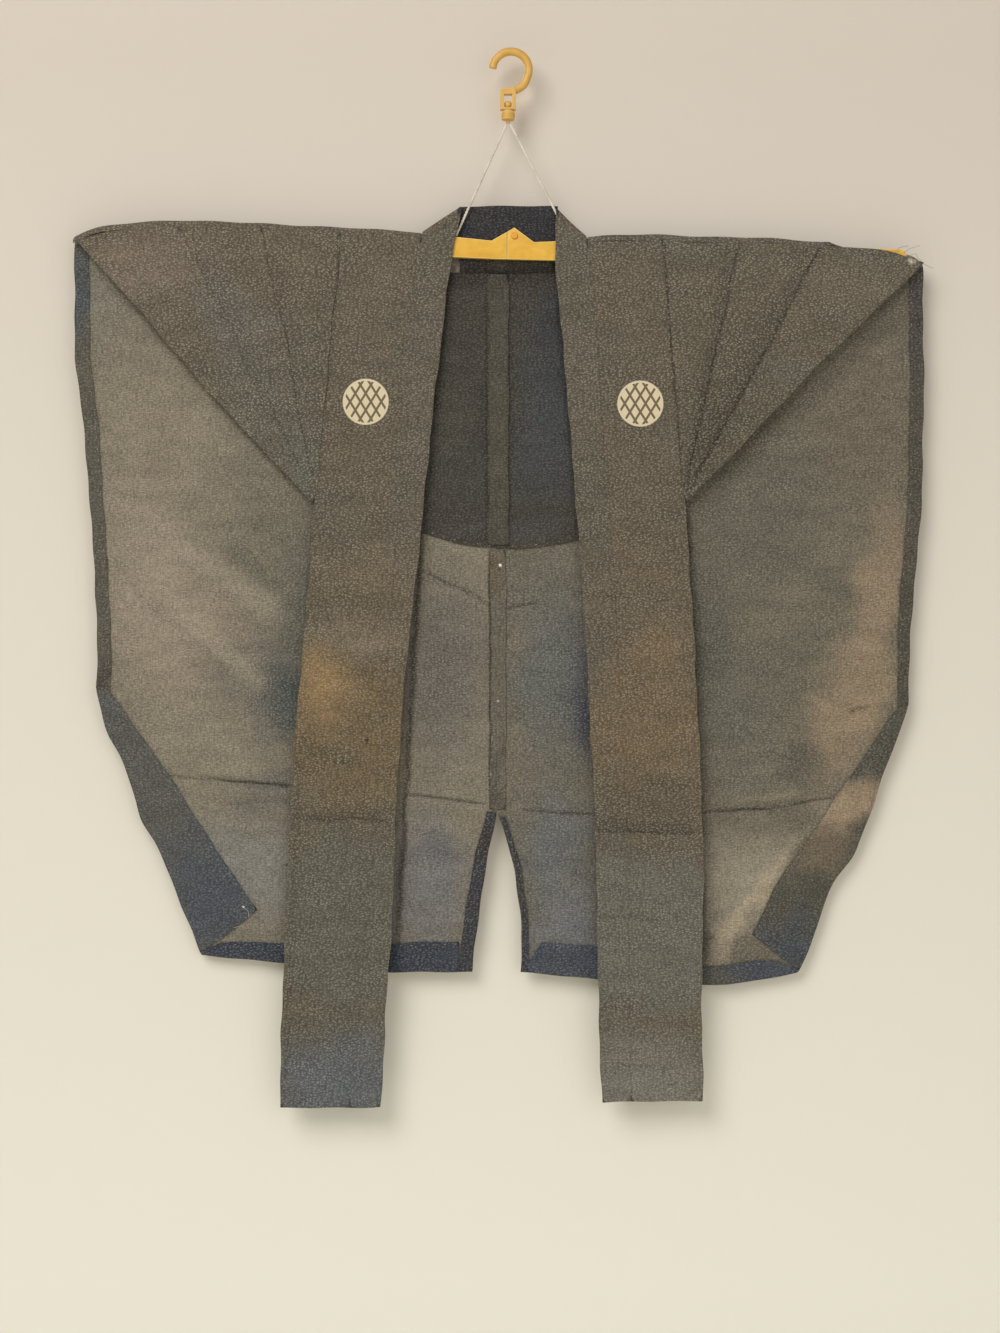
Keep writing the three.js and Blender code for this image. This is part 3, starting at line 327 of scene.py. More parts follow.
class Finish:
    """One material's nodes, with a call for each thing that its surface shows."""

    def __init__(self, name, colour, roughness):
        self.material = bpy.data.materials.new(name)
        self.material.use_nodes = True
        self.tree = self.material.node_tree
        self.skin = self.tree.nodes["Principled BSDF"]
        self.skin.inputs["Roughness"].default_value = roughness
        place = self.add("ShaderNodeTexCoord").outputs["Object"]
        parts = self.add("ShaderNodeSeparateXYZ", {0: place}).outputs
        across = self.math("MULTIPLY", parts["X"], 1 / MM)
        up = self.math("MULTIPLY", parts["Z"], 1 / MM)
        self.sheet = self.add("ShaderNodeCombineXYZ", {"X": across, "Y": up}).outputs[0]
        self.loose = self.unsettled(38, 46, 3)
        self.wavy = self.unsettled(24, 5, 1)
        self.colour = self.add("ShaderNodeRGB").outputs[0]
        self.colour.default_value = colour

    def add(self, kind, sockets=None, **settings):
        return add_node(self.tree, kind, sockets, **settings)

    def math(self, operation, first, second=0.0):
        return self.add("ShaderNodeMath", {0: first, 1: second}, operation=operation).outputs[0]

    def vector(self, operation, first, second=(0, 0, 0)):
        node = self.add("ShaderNodeVectorMath", {0: first, 1: second}, operation=operation)
        return node.outputs["Value" if operation == "LENGTH" else "Vector"]

    def steps(self, value, low, high, bottom=0.0, top=1.0):
        """A value between low and high, spread smoothly from bottom to top."""
        sockets = {
            "Value": value, "From Min": low, "From Max": high, "To Min": bottom, "To Max": top,
        }
        return self.add(
            "ShaderNodeMapRange", sockets, interpolation_type="SMOOTHSTEP"
        ).outputs[0]

    def unsettled(self, size, reach, detail):
        """The flat place on the cloth, shifted about so that nothing laid by it has a hard shape."""
        swirl = self.add(
            "ShaderNodeTexNoise", {"Vector": self.sheet, "Scale": 1 / size, "Detail": detail}
        ).outputs["Color"]
        shift = self.vector("SUBTRACT", swirl, (0.5, 0.5, 0))
        shift = self.vector("MULTIPLY", shift, (reach, reach, 0))
        return self.vector("ADD", self.sheet, shift)

    def cloud(self, wide, high, seed, detail=3.0):
        """Uneven tone from 0 to 1, in blotches of that size in millimetres."""
        spread = self.vector("MULTIPLY", self.sheet, (1 / wide, 1 / high, 1))
        moved = self.vector("ADD", spread, (0, 0, seed))
        noise = self.add("ShaderNodeTexNoise", {"Vector": moved, "Scale": 1, "Detail": detail})
        return noise.outputs["Fac"]

    def laid(self, place, x, down, turn, wide, high):
        """Places measured from a point, along and across a direction, in shares of two sizes."""
        return self.add(
            "ShaderNodeMapping",
            {
                "Vector": place,
                "Location": (x, -down, 0),
                "Rotation": (0, 0, turn),
                "Scale": (wide, high, 1),
            },
            vector_type="TEXTURE",
        ).outputs[0]

    def tint(self, colour, share):
        """Lets the colour so far turn to another by a share."""
        mix = self.add("ShaderNodeMix", {0: share, 6: self.colour, 7: colour}, data_type="RGBA")
        self.colour = mix.outputs[2]

    def stain(self, row, place):
        """A soft oval of another colour."""
        turn = math.radians(row.turn)
        inside = self.laid(place, row.x, row.down, turn, row.wide, row.high)
        rim = self.steps(self.vector("LENGTH", inside), 1 - row.soft, 1, row.share, 0)
        self.tint(row.colour, rim)

    def streak(self, row):
        """A soft line of another colour: crease dirt with painted shade, painted shade by edges,
        painted light on folds.
        """
        reach = math.hypot(row.x2 - row.x1, row.down2 - row.down1)
        turn = math.atan2(row.down1 - row.down2, row.x2 - row.x1)
        inside = self.laid(self.wavy, row.x1, row.down1, turn, reach, row.width)
        parts = self.add("ShaderNodeSeparateXYZ", {0: inside}).outputs
        line = self.steps(self.math("ABSOLUTE", parts["Y"]), 0, 1, row.share, 0)
        start = self.steps(parts["X"], -0.02, 0.14)
        end = self.steps(parts["X"], 0.86, 1.02, 1, 0)
        self.tint(row.colour, self.math("MULTIPLY", line, self.math("MULTIPLY", start, end)))

    def shade(self, tone):
        """Darkens or lightens the colour so far by a factor."""
        mix = self.add(
            "ShaderNodeMix", {0: 1.0, 6: self.colour}, data_type="RGBA", blend_type="MULTIPLY"
        )
        self.tree.links.new(tone, mix.inputs[7])
        self.colour = mix.outputs[2]

    def close(self, height, depth):
        self.tree.links.new(self.colour, self.skin.inputs["Base Color"])
        bump = self.add("ShaderNodeBump", {"Height": height, "Distance": depth})
        self.tree.links.new(bump.outputs[0], self.skin.inputs["Normal"])
        return self.material


DOT_PALE = rgb(206, 200, 182)
DOT_ACROSS, DOT_DOWN = 2.8, 1.8  # from one dot to the next
# Dirt and painted shade: the darker line laid along creases and pleat folds.
CREASE_DIRT_AND_SHADE = rgb(58, 51, 42)


def hemp(
    name, ground, second, patches=(), dots=0.4, grain=0, seed=1, marks=(), streaks=(), badge_at=None
):
    """Plain woven hemp: uneven dye, slubs along the weft, and small pale dots in wavy rows."""
    cloth = Finish(name, ground, 0.92)
    cloth.skin.inputs["Sheen Weight"].default_value = 0.1
    cloth.skin.inputs["Sheen Roughness"].default_value = 0.6
    cloth.skin.inputs["Specular IOR Level"].default_value = 0.2
    cloth.tint(second, cloth.steps(cloth.cloud(120, 90, seed), 0.35, 0.68))
    for row in patches:
        cloth.stain(row, cloth.loose)
    for row in marks:
        cloth.stain(row, cloth.wavy)
    for row in streaks:
        cloth.streak(row)
    weft = cloth.cloud(5.5, 0.8, seed + 3, 2)
    warp = cloth.cloud(0.8, 9, seed + 5, 2)
    threads = cloth.math("ADD", weft, warp)
    cloth.shade(cloth.steps(threads, 0.62, 1.38, 0.72, 1.28))
    cloth.shade(cloth.steps(cloth.cloud(30, 11, seed + 7, 5), 0.25, 0.75, 0.88, 1.12))
    cloth.shade(cloth.steps(cloth.cloud(2.6, 1.1, seed + 11, 1), 0.3, 0.7, 0.8, 1.2))
    turned = cloth.laid(cloth.sheet, 0, 0, math.radians(grain), 1, 1)
    parts = cloth.add("ShaderNodeSeparateXYZ", {0: turned}).outputs
    wave = cloth.math("SINE", cloth.math("MULTIPLY", parts["X"], 2 * math.pi / 21))
    rows = cloth.math("ADD", parts["Y"], cloth.math("MULTIPLY", wave, 1.2))
    cells = cloth.add("ShaderNodeCombineXYZ", {
        "X": cloth.math("MULTIPLY", parts["X"], 1 / DOT_ACROSS),
        "Y": cloth.math("MULTIPLY", rows, 1 / DOT_DOWN),
    }).outputs[0]
    spots = cloth.add(
        "ShaderNodeTexVoronoi",
        {"Vector": cells, "Scale": 1.0, "Randomness": 0.85},
        voronoi_dimensions="2D",
    ).outputs
    dot = cloth.steps(spots["Distance"], 0.08, 0.42, 1, 0)
    chance = cloth.steps(cloth.vector("LENGTH", spots["Color"]), 0.4, 1.4, 0.3, 1)
    worn = cloth.steps(cloth.cloud(28, 18, seed + 9, 3), 0.3, 0.7, 0.6, 1)
    bright = cloth.math("MULTIPLY", dot, cloth.math("MULTIPLY", chance, worn))
    cloth.tint(DOT_PALE, cloth.math("MULTIPLY", bright, dots))
    if badge_at:
        badge(cloth, badge_at)
    return cloth.close(cloth.math("ADD", threads, cloth.math("MULTIPLY", bright, 0.4)), 0.3 * MM)


OUTSIDE_BROWN = rgb(95, 84, 69)
OUTSIDE_GREY = rgb(88, 82, 69)
SHOULDER_PATCHES = [
    Patch(-300, 175, 90, 46, 10, 0.9, rgb(112, 99, 86), 0.75),
    Patch(-205, 280, 60, 60, 30, 0.9, rgb(92, 89, 79), 0.6),
    Patch(-168, 330, 34, 60, 0, 0.9, rgb(86, 88, 80), 0.6),
    Patch(-225, 215, 40, 60, 30, 0.9, rgb(96, 94, 92), 0.5),
    Patch(290, 190, 80, 40, 0, 0.9, rgb(102, 92, 78), 0.7),
    Patch(190, 235, 60, 70, 0, 0.9, rgb(86, 78, 64), 0.7),
    Patch(230, 260, 60, 30, -30, 0.9, rgb(92, 90, 78), 0.6),
    Patch(165, 290, 44, 80, -20, 0.9, rgb(80, 73, 59), 0.8),
]
# Outside of the back: dirt and painted shade in the pressed creases, the dark centre seam, and painted
# light and shade along soft folds.
OUTSIDE_DIRT_AND_SHADE = [
    Stroke(row.x1, row.down1, row.x2, row.down2, 2.4, CREASE_DIRT_AND_SHADE, 0.6) for row in PRESSED_BACK
] + [
    Stroke(-16, 120, -16, 640, 1.6, rgb(40, 35, 30), 0.75),
    Stroke(-70, 413, 40, 440, 2.6, CREASE_DIRT_AND_SHADE, 0.35),
    # Painted light on the ridges of soft folds and painted shade in their troughs, then a broad darker
    # band and a broad lighter band down the back.
    Stroke(-300, 380, -190, 460, 14, rgb(124, 112, 94), 0.3),
    Stroke(-312, 420, -196, 520, 12, rgb(78, 70, 58), 0.3),
    Stroke(300, 420, 236, 560, 14, rgb(122, 110, 92), 0.3),
    Stroke(170, 390, 262, 470, 14, rgb(76, 68, 56), 0.3),
    Stroke(-150, 180, -170, 560, 16, rgb(78, 71, 58), 0.25),
    Stroke(120, 180, 150, 560, 16, rgb(112, 101, 84), 0.25),
]
outside_hemp = hemp(
    "outside_hemp", OUTSIDE_BROWN, OUTSIDE_GREY,
    SHOULDER_PATCHES + [
        Patch(-120, 520, 90, 70, 20, 0.9, rgb(110, 94, 70), 0.6),
        Patch(130, 560, 80, 90, -10, 0.9, rgb(112, 96, 72), 0.6),
        Patch(-240, 640, 100, 90, 0, 0.9, rgb(84, 88, 90), 0.8),
        Patch(220, 660, 110, 80, 0, 0.9, rgb(88, 88, 84), 0.8),
        Patch(0, 700, 90, 60, 0, 0.9, rgb(82, 84, 88), 0.8),
    ],
    0.4, 0, 12, (), OUTSIDE_DIRT_AND_SHADE,
)
BACK_RIGHT_PATCHES = [
    Patch(-285, 330, 80, 150, 0, 0.9, rgb(132, 121, 104), 0.75),
    Patch(-270, 470, 90, 90, 20, 0.9, rgb(142, 129, 111), 0.9),
    Patch(-240, 545, 80, 60, 20, 0.9, rgb(134, 124, 108), 0.7),
    Patch(-345, 200, 40, 60, 0, 0.9, rgb(112, 112, 100), 0.6),
    Patch(-190, 385, 60, 80, 30, 0.9, rgb(104, 98, 84), 0.8),
    Patch(-165, 460, 40, 110, 0, 0.9, rgb(90, 88, 79), 0.8),
    Patch(-184, 524, 34, 70, 14, 1, rgb(68, 73, 72), 0.95),
    Patch(-225, 500, 50, 36, 30, 0.9, rgb(106, 102, 92), 0.5),
    Patch(-215, 660, 85, 60, -20, 0.8, rgb(124, 122, 116), 0.9),
    Patch(-195, 600, 40, 24, 0, 0.9, rgb(96, 94, 90), 0.6),
    Patch(-55, 500, 50, 110, 0, 0.9, rgb(97, 92, 86), 0.95),
    Patch(-64, 672, 50, 84, 0, 0.9, rgb(110, 108, 107), 1),
    Patch(-64, 645, 44, 12, 0, 1, rgb(88, 88, 92), 0.6),
    Patch(-296, 420, 60, 120, 20, 0.9, rgb(146, 134, 117), 0.7),
]
BACK_LEFT_PATCHES = [
    Patch(285, 290, 70, 110, 0, 0.9, rgb(104, 94, 80), 0.8),
    Patch(200, 380, 80, 100, -20, 0.9, rgb(94, 90, 78), 0.9),
    Patch(300, 440, 34, 130, -8, 0.9, rgb(140, 122, 100), 0.9),
    Patch(278, 525, 46, 90, -25, 0.85, rgb(142, 124, 100), 0.95),
    Patch(180, 540, 60, 90, 10, 0.9, rgb(96, 94, 82), 0.8),
    Patch(160, 470, 30, 80, 0, 0.9, rgb(84, 82, 74), 0.7),
    Patch(236, 570, 26, 26, -30, 0.8, rgb(82, 78, 68), 0.8),
    Patch(190, 670, 76, 66, 0, 0.9, rgb(142, 133, 116), 1),
    Patch(194, 692, 13, 92, -34, 0.8, rgb(164, 150, 128), 0.85),
    Patch(255, 610, 26, 26, 0, 0.9, rgb(132, 122, 104), 0.7),
    Patch(36, 500, 56, 120, 0, 0.9, rgb(95, 95, 91), 1),
    Patch(62, 515, 30, 90, 0, 0.9, rgb(73, 74, 80), 0.8),
    Patch(64, 540, 14, 40, 0, 0.9, rgb(54, 56, 68), 0.7),
    Patch(36, 640, 50, 70, 0, 0.9, rgb(99, 100, 99), 1),
    Patch(50, 708, 50, 60, 0, 0.9, rgb(106, 106, 109), 0.95),
]
PALE_SPOT = rgb(232, 226, 206)
BACK_MARKS = [
    Patch(-8, 412.6, 2, 1.8, 0, 0.6, PALE_SPOT, 0.95),
    Patch(-10.4, 523, 1.8, 1.4, 0, 0.8, PALE_SPOT, 0.4),
    Patch(-15.4, 554, 0.8, 4, 0, 0.8, PALE_SPOT, 0.3),
    Patch(-15.2, 581, 0.8, 2.4, 0, 0.8, PALE_SPOT, 0.25),
    Patch(286, 528, 13, 3.4, 14, 0.8, rgb(92, 76, 58), 0.6),
    Patch(278, 531, 4, 2.6, 0, 0.8, rgb(84, 66, 48), 0.6),
    Patch(-182, 656, 2.6, 1.6, 20, 0.7, rgb(50, 48, 50), 0.75),
]
# Inside of the back: dirt and painted shade in the creases, the seam line, painted shadow beside the
# strips and under the pleats, and painted light and shade along soft folds.
BACK_DIRT_AND_SHADE = [
    Stroke(row.x1, row.down1, row.x2, row.down2, 2.1, CREASE_DIRT_AND_SHADE, min(0.85, 0.38 * abs(row.height)))
    for row in PRESSED_BACK
] + [
    Stroke(-76, 413, -14, 445, 3.4, CREASE_DIRT_AND_SHADE, 0.5),
    Stroke(-10, 449, 22, 442, 2.4, CREASE_DIRT_AND_SHADE, 0.6),
    Stroke(-240, 607, -170, 604, 2.4, CREASE_DIRT_AND_SHADE, 0.25),
    Stroke(-16.8, 396, -15.8, 616, 1.7, rgb(44, 39, 34), 0.8),
    # Painted shadow on the back beside the strips' edges, strongest on the side away from the key
    # light.
    Stroke(-70, 352, -93, 742, 4.4, rgb(50, 44, 37), 0.75),
    Stroke(142, 346, 159, 742, 5.4, rgb(48, 43, 35), 0.7),
    Stroke(64, 400, 73, 742, 3, rgb(56, 52, 48), 0.3),
    Stroke(-158, 366, -184, 734, 5, rgb(62, 58, 50), 0.25),
    # Painted light on the ridges of soft folds and painted shade in their troughs.
    Stroke(-288, 382, -182, 456, 15, rgb(156, 144, 126), 0.34),
    Stroke(-234, 394, -168, 448, 12, rgb(80, 78, 70), 0.4),
    Stroke(-302, 416, -196, 514, 13, rgb(156, 145, 127), 0.3),
    Stroke(-298, 438, -206, 524, 9, rgb(96, 90, 79), 0.24),
    Stroke(-268, 482, -194, 545, 9, rgb(98, 92, 82), 0.28),
    # Painted shadow under the pleats' lower diagonal edge, wide on the left wing and narrow on the
    # right.
    Stroke(334, 186, 152, 364, 15, rgb(76, 70, 58), 0.5),
    Stroke(-340, 166, -160, 362, 6, rgb(84, 76, 64), 0.45),
    # Painted shade and painted light along soft folds, and painted light on a crease's ridge.
    Stroke(206, 396, 280, 436, 12, rgb(82, 78, 67), 0.26),
    Stroke(214, 432, 292, 470, 12, rgb(122, 112, 95), 0.24),
    Stroke(178, 606, 240, 596, 5, rgb(150, 138, 118), 0.3),
]


def turn_out(piece, is_outside):
    """Shows the cloth's right side on the faces that a test picks."""
    piece.data.materials.append(outside_hemp)
    for face in piece.data.polygons:
        face.material_index = int(is_outside(face.center / MM, face.normal))


FACES_BACKWARD = 0.3  # least share of a face's direction that points to the back
OVER_SHOULDER_Y, SHOULDER_FOOT = 1.5, -175


def outside_of_back(centre, normal):
    on_shoulder = centre.y < OVER_SHOULDER_Y and centre.z > SHOULDER_FOOT
    return normal.y > FACES_BACKWARD or on_shoulder


back_right = cloth_on("back_right", 3, BACK_CREASES, PRESSED_BACK[:3], tucked=True)
back_right.data.materials.append(hemp(
    "back_right_hemp", rgb(116, 108, 94), rgb(124, 116, 100), BACK_RIGHT_PATCHES, 0.32, 0, 2,
    BACK_MARKS, BACK_DIRT_AND_SHADE,
))
back_left = cloth_on("back_left", 3, BACK_CREASES, PRESSED_BACK[3:], tucked=True)
back_left.data.materials.append(hemp(
    "back_left_hemp", rgb(100, 94, 81), rgb(110, 102, 88), BACK_LEFT_PATCHES, 0.32, 0, 4,
    BACK_MARKS, BACK_DIRT_AND_SHADE,
))
for side, back in (("right", back_right), ("left", back_left)):
    turn_out(back, outside_of_back)
    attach(back, "root")
    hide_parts(f"back_{side}")

# Fronts, pleated shoulders and collar, right and left: the same cloth, right side out. Three pleats
# a side are pressed to a point at the waist, and the long strips hang below it. The collar is the
# same cloth, folded double and sewn along the front edge.
PRESSED_FRONT = {
    "right": [Crease(-176, 615, -93, 621, 2, -1.2)],
    "left": [Crease(66, 627, 152, 630, 2.2, -1.2)],
}
FRONT_CREASES = PRESSED_FRONT["right"] + PRESSED_FRONT["left"] + [
    Crease(-180, 607, -92, 612, 8, 1),
    Crease(66, 617, 152, 620, 8, 0.9),
    Crease(66, 438, 148, 442, 3.5, -0.7),
    Crease(68, 695, 118, 699, 5, -0.7),
    Crease(74, 770, 112, 769, 4, -0.5),
    Crease(78, 814, 130, 819, 4, -0.5),
    Crease(-160, 700, -100, 690, 14, 0.7),
    Crease(-174, 790, -108, 800, 18, 0.8),
    Crease(-150, 480, -100, 492, 16, 0.6),
    Crease(82, 540, 148, 534, 18, 0.7),
    Crease(-178, 720, -168, 850, 7, 0.8),
    Crease(150, 700, 154, 850, 6, 0.7),
]
PLEAT_CREASES = [
    Crease(-216, 190, -186, 300, 12, 0.9),
    Crease(-170, 170, -160, 300, 12, 0.8),
    Crease(-290, 190, -210, 290, 14, 1),
    Crease(208, 190, 168, 300, 12, 0.9),
    Crease(158, 180, 148, 300, 11, 0.8),
    Crease(270, 195, 190, 290, 14, 1),
]
STRIP_GREEN = rgb(90, 87, 75)
STRIP_SLATE = rgb(89, 92, 95)
CREAM = rgb(222, 206, 172)
BADGE_DARK = rgb(94, 81, 59)
BADGE_RADIUS = 18.6
TILE = 8.4  # width of one lozenge
TILE_LINE = 1.1  # half of the dark line between two
BADGE_PLACES = {"right": (-116.6, 281), "left": (105.3, 282.4)}


def badge(cloth, centre):
    """A plain round badge left pale by the dyer, made of small lozenges in slanting rows."""
    x, down = centre
    from_centre = cloth.vector("SUBTRACT", cloth.sheet, (x, -down, 0))
    parts = cloth.add("ShaderNodeSeparateXYZ", {0: from_centre}).outputs
    slant = cloth.math("MULTIPLY", parts["Y"], 0.62)
    lines = 0.0
    for operation in ("ADD", "SUBTRACT"):
        run = cloth.math(operation, parts["X"], slant)
        from_line = cloth.math("PINGPONG", cloth.math("ADD", run, TILE / 2), TILE / 2)
        line = cloth.steps(from_line, TILE_LINE - 0.2, TILE_LINE + 0.2, 1, 0)
        lines = cloth.math("MAXIMUM", line, lines)
    radius = cloth.vector("LENGTH", from_centre)
    cloth.tint(CREAM, cloth.steps(radius, BADGE_RADIUS - 0.35, BADGE_RADIUS + 0.35, 0.95, 0))
    inner = cloth.steps(radius, BADGE_RADIUS - 1.9, BADGE_RADIUS - 1.5, 0.9, 0)
    cloth.tint(BADGE_DARK, cloth.math("MULTIPLY", lines, inner))


STRIP_PATCHES = {
    "right": [
        Patch(-120, 220, 50, 90, 0, 0.9, rgb(96, 85, 71), 0.6),
        Patch(-110, 430, 80, 60, 0, 0.9, rgb(104, 91, 74), 0.8),
        Patch(-130, 545, 90, 92, 0, 0.6, rgb(102, 87, 64), 1),
        Patch(-152, 512, 46, 50, 0, 1, rgb(142, 116, 80), 0.9),
        Patch(-120, 468, 60, 22, 0, 1, rgb(124, 110, 92), 0.6),
        Patch(-146, 566, 40, 16, 0, 1, rgb(84, 76, 56), 0.7),
        Patch(-126, 444, 60, 12, 0, 1, rgb(84, 75, 58), 0.6),
        Patch(-130, 700, 95, 78, 0, 0.3, STRIP_GREEN, 1),
        Patch(-140, 830, 90, 66, 0, 0.8, STRIP_SLATE, 1),
        Patch(-116, 284, 34, 40, 0, 0.9, rgb(86, 77, 64), 0.5),
    ],
    "left": [
        Patch(110, 440, 80, 60, 0, 0.9, rgb(98, 86, 70), 0.8),
        Patch(110, 545, 90, 90, 0, 0.8, rgb(106, 90, 68), 0.95),
        Patch(120, 480, 30, 40, 0, 0.9, rgb(120, 98, 70), 0.6),
        Patch(112, 600, 60, 26, 0, 0.9, rgb(84, 76, 62), 0.7),
        Patch(110, 712, 95, 80, 0, 0.4, rgb(97, 95, 85), 1),
        Patch(110, 840, 90, 70, 0, 0.8, rgb(112, 108, 99), 1),
        Patch(105, 286, 34, 40, 0, 0.9, rgb(86, 78, 65), 0.5),
    ],
}
# Dirt and painted shade: a darker line along the first pleat's fold.
FIRST_PLEAT_DIRT_AND_SHADE = [
    Stroke(-138, 136, -142, 216, 1.6, CREASE_DIRT_AND_SHADE, 0.5),
    Stroke(-140, 196, -154, 336, 1.3, CREASE_DIRT_AND_SHADE, 0.35),
    Stroke(123.6, 142, 131, 246, 1.7, CREASE_DIRT_AND_SHADE, 0.6),
    Stroke(129.6, 222, 139.6, 356, 1.7, CREASE_DIRT_AND_SHADE, 0.55),
]
PLEAT_DIRT_AND_SHADE = FIRST_PLEAT_DIRT_AND_SHADE + [
    # Along each pleat fold, on its neck side: a thin dark line of dirt and painted shade, and a wide
    # soft band of painted shade.
    Stroke(-196, 143, -162, 338, 3.4, CREASE_DIRT_AND_SHADE, 0.16),
    Stroke(-264, 142, -160, 350, 3.4, CREASE_DIRT_AND_SHADE, 0.16),
    Stroke(-190, 150, -156, 330, 15, rgb(78, 72, 64), 0.3),
    Stroke(-253, 150, -172, 318, 15, rgb(80, 76, 70), 0.3),
    Stroke(-150, 150, -158, 340, 9, rgb(76, 70, 60), 0.3),
    Stroke(188, 142, 162.5, 256, 1.9, CREASE_DIRT_AND_SHADE, 0.75),
    Stroke(166.6, 236, 140, 360, 1.9, CREASE_DIRT_AND_SHADE, 0.75),
    Stroke(257, 142, 197, 258, 2.4, CREASE_DIRT_AND_SHADE, 0.85),
    Stroke(208, 236, 140.5, 360, 2.4, CREASE_DIRT_AND_SHADE, 0.85),
    Stroke(180, 150, 142, 345, 9, rgb(70, 63, 53), 0.4),
    Stroke(246, 150, 142, 345, 11, rgb(70, 63, 53), 0.45),
    Stroke(118, 150, 134, 350, 8, rgb(72, 66, 56), 0.3),
]
STRIP_DIRT_AND_SHADE = {
    "right": FIRST_PLEAT_DIRT_AND_SHADE + [
        # Dirt and painted shade in the pressed crease across the strip, and painted shade along the
        # strip's edges.
        Stroke(-184, 616, -91, 620, 1.9, CREASE_DIRT_AND_SHADE, 0.6),
        Stroke(-184, 613, -91, 617, 7, CREASE_DIRT_AND_SHADE, 0.25),
        Stroke(-72, 152, -128, 850, 1.5, CREASE_DIRT_AND_SHADE, 0.2),
        Stroke(-170, 560, -183, 850, 5, rgb(70, 62, 50), 0.3),
        Stroke(-58, 210, -97, 850, 2.2, rgb(50, 44, 37), 0.25),
    ],
    "left": FIRST_PLEAT_DIRT_AND_SHADE + [
        # Dirt and painted shade in the strip's pressed and soft creases.
        Stroke(62, 627, 156, 630, 2.6, CREASE_DIRT_AND_SHADE, 0.6),
        Stroke(62, 622, 156, 625, 9, CREASE_DIRT_AND_SHADE, 0.35),
        Stroke(64, 438, 152, 442, 1.8, CREASE_DIRT_AND_SHADE, 0.3),
        Stroke(66, 696, 120, 699, 2.4, CREASE_DIRT_AND_SHADE, 0.3),
        Stroke(72, 770, 112, 769, 1.8, CREASE_DIRT_AND_SHADE, 0.25),
        Stroke(78, 814, 130, 819, 2, CREASE_DIRT_AND_SHADE, 0.25),
    ],
}
STRIP_MARKS = {
    "right": [
        Patch(-115.8, 555, 2.2, 3.6, 0, 0.7, rgb(40, 34, 30), 0.85),
        Patch(-134, 571, 6, 2.4, 8, 0.8, rgb(72, 60, 44), 0.5),
    ],
    "left": [],
}
TIP_MARKS = [
    Patch(326, 165, 5, 6.4, -20, 0.6, rgb(206, 190, 168), 0.9),
    Patch(316, 164, 9, 5, 20, 0.9, rgb(122, 108, 92), 0.6),
]
STRIP_GRAIN = {"right": -4, "left": 3}
PLEAT_GRAIN = {"right": 7, "left": -7}
sewn = {}
for side in ("right", "left"):
    dirt_and_shade, marks, grain = STRIP_DIRT_AND_SHADE[side], STRIP_MARKS[side], STRIP_GRAIN[side]
    strip, pressed = STRIP_PATCHES[side], PRESSED_FRONT[side]
    front = cloth_on(f"front_{side}", 3, FRONT_CREASES, pressed)
    front.data.materials.append(hemp(
        f"front_{side}_hemp", OUTSIDE_BROWN, OUTSIDE_GREY, strip, 0.4, grain, 12, marks, dirt_and_shade,
        BADGE_PLACES[side],
    ))
    pleats = cloth_on(f"pleats_{side}", 3, PLEAT_CREASES)
    pleats.data.materials.append(hemp(
        f"pleats_{side}_hemp", OUTSIDE_BROWN, OUTSIDE_GREY, SHOULDER_PATCHES, 0.42,
        PLEAT_GRAIN[side], 12, TIP_MARKS, PLEAT_DIRT_AND_SHADE,
    ))
    collar = cloth_on(f"collar_{side}", 3, FRONT_CREASES, pressed)
    collar.data.materials.append(hemp(
        f"collar_{side}_hemp", OUTSIDE_GREY, rgb(94, 86, 74), strip[:-1], 0.38, grain, 12, marks, dirt_and_shade,
    ))
    for piece, node in ((front, "front"), (pleats, "pleats"), (collar, "collar")):
        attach(piece, "root")
        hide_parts(f"{node}_{side}")
        sewn[f"{node}_{side}"] = piece

# Collar behind the neck: the band folded over the neck edge and turned forward at each shoulder.
# Light never reached its inside, so the dye there is still dark blue.
neck = cloth_on("collar_neck", 2, [], tucked=True)
neck.data.materials.append(hemp(
    "neck_hemp", rgb(47, 46, 50), rgb(50, 48, 50),
    [
        Patch(-21, 128, 17, 16, 0, 0.7, rgb(54, 50, 50), 0.7),
        Patch(-10, 133, 1.6, 18, 0, 1, rgb(30, 28, 32), 0.7),
        Patch(-38, 142, 16, 16, 0, 0.9, rgb(40, 42, 52), 0.6),
        # Painted shadow of the hanger's arms: a dark band at the collar's foot.
        Patch(0, 170, 80, 13, 0, 0.7, rgb(46, 40, 33), 0.95),
        Patch(-9.5, 172, 9, 14, 0, 0.8, rgb(64, 58, 50), 0.7),
    ],
    0.14, 0, 51,
))
NECK_TURNS = (-43, 38.6)  # where the band turns forward at each shoulder
NECK_TURN_FOOT = -158


def outside_of_neck(centre, normal):
    turned = centre.z > NECK_TURN_FOOT and not NECK_TURNS[0] < centre.x < NECK_TURNS[1]
    return turned or normal.y > 0.3


turn_out(neck, outside_of_neck)
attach(neck, "root")
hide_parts("collar_neck")

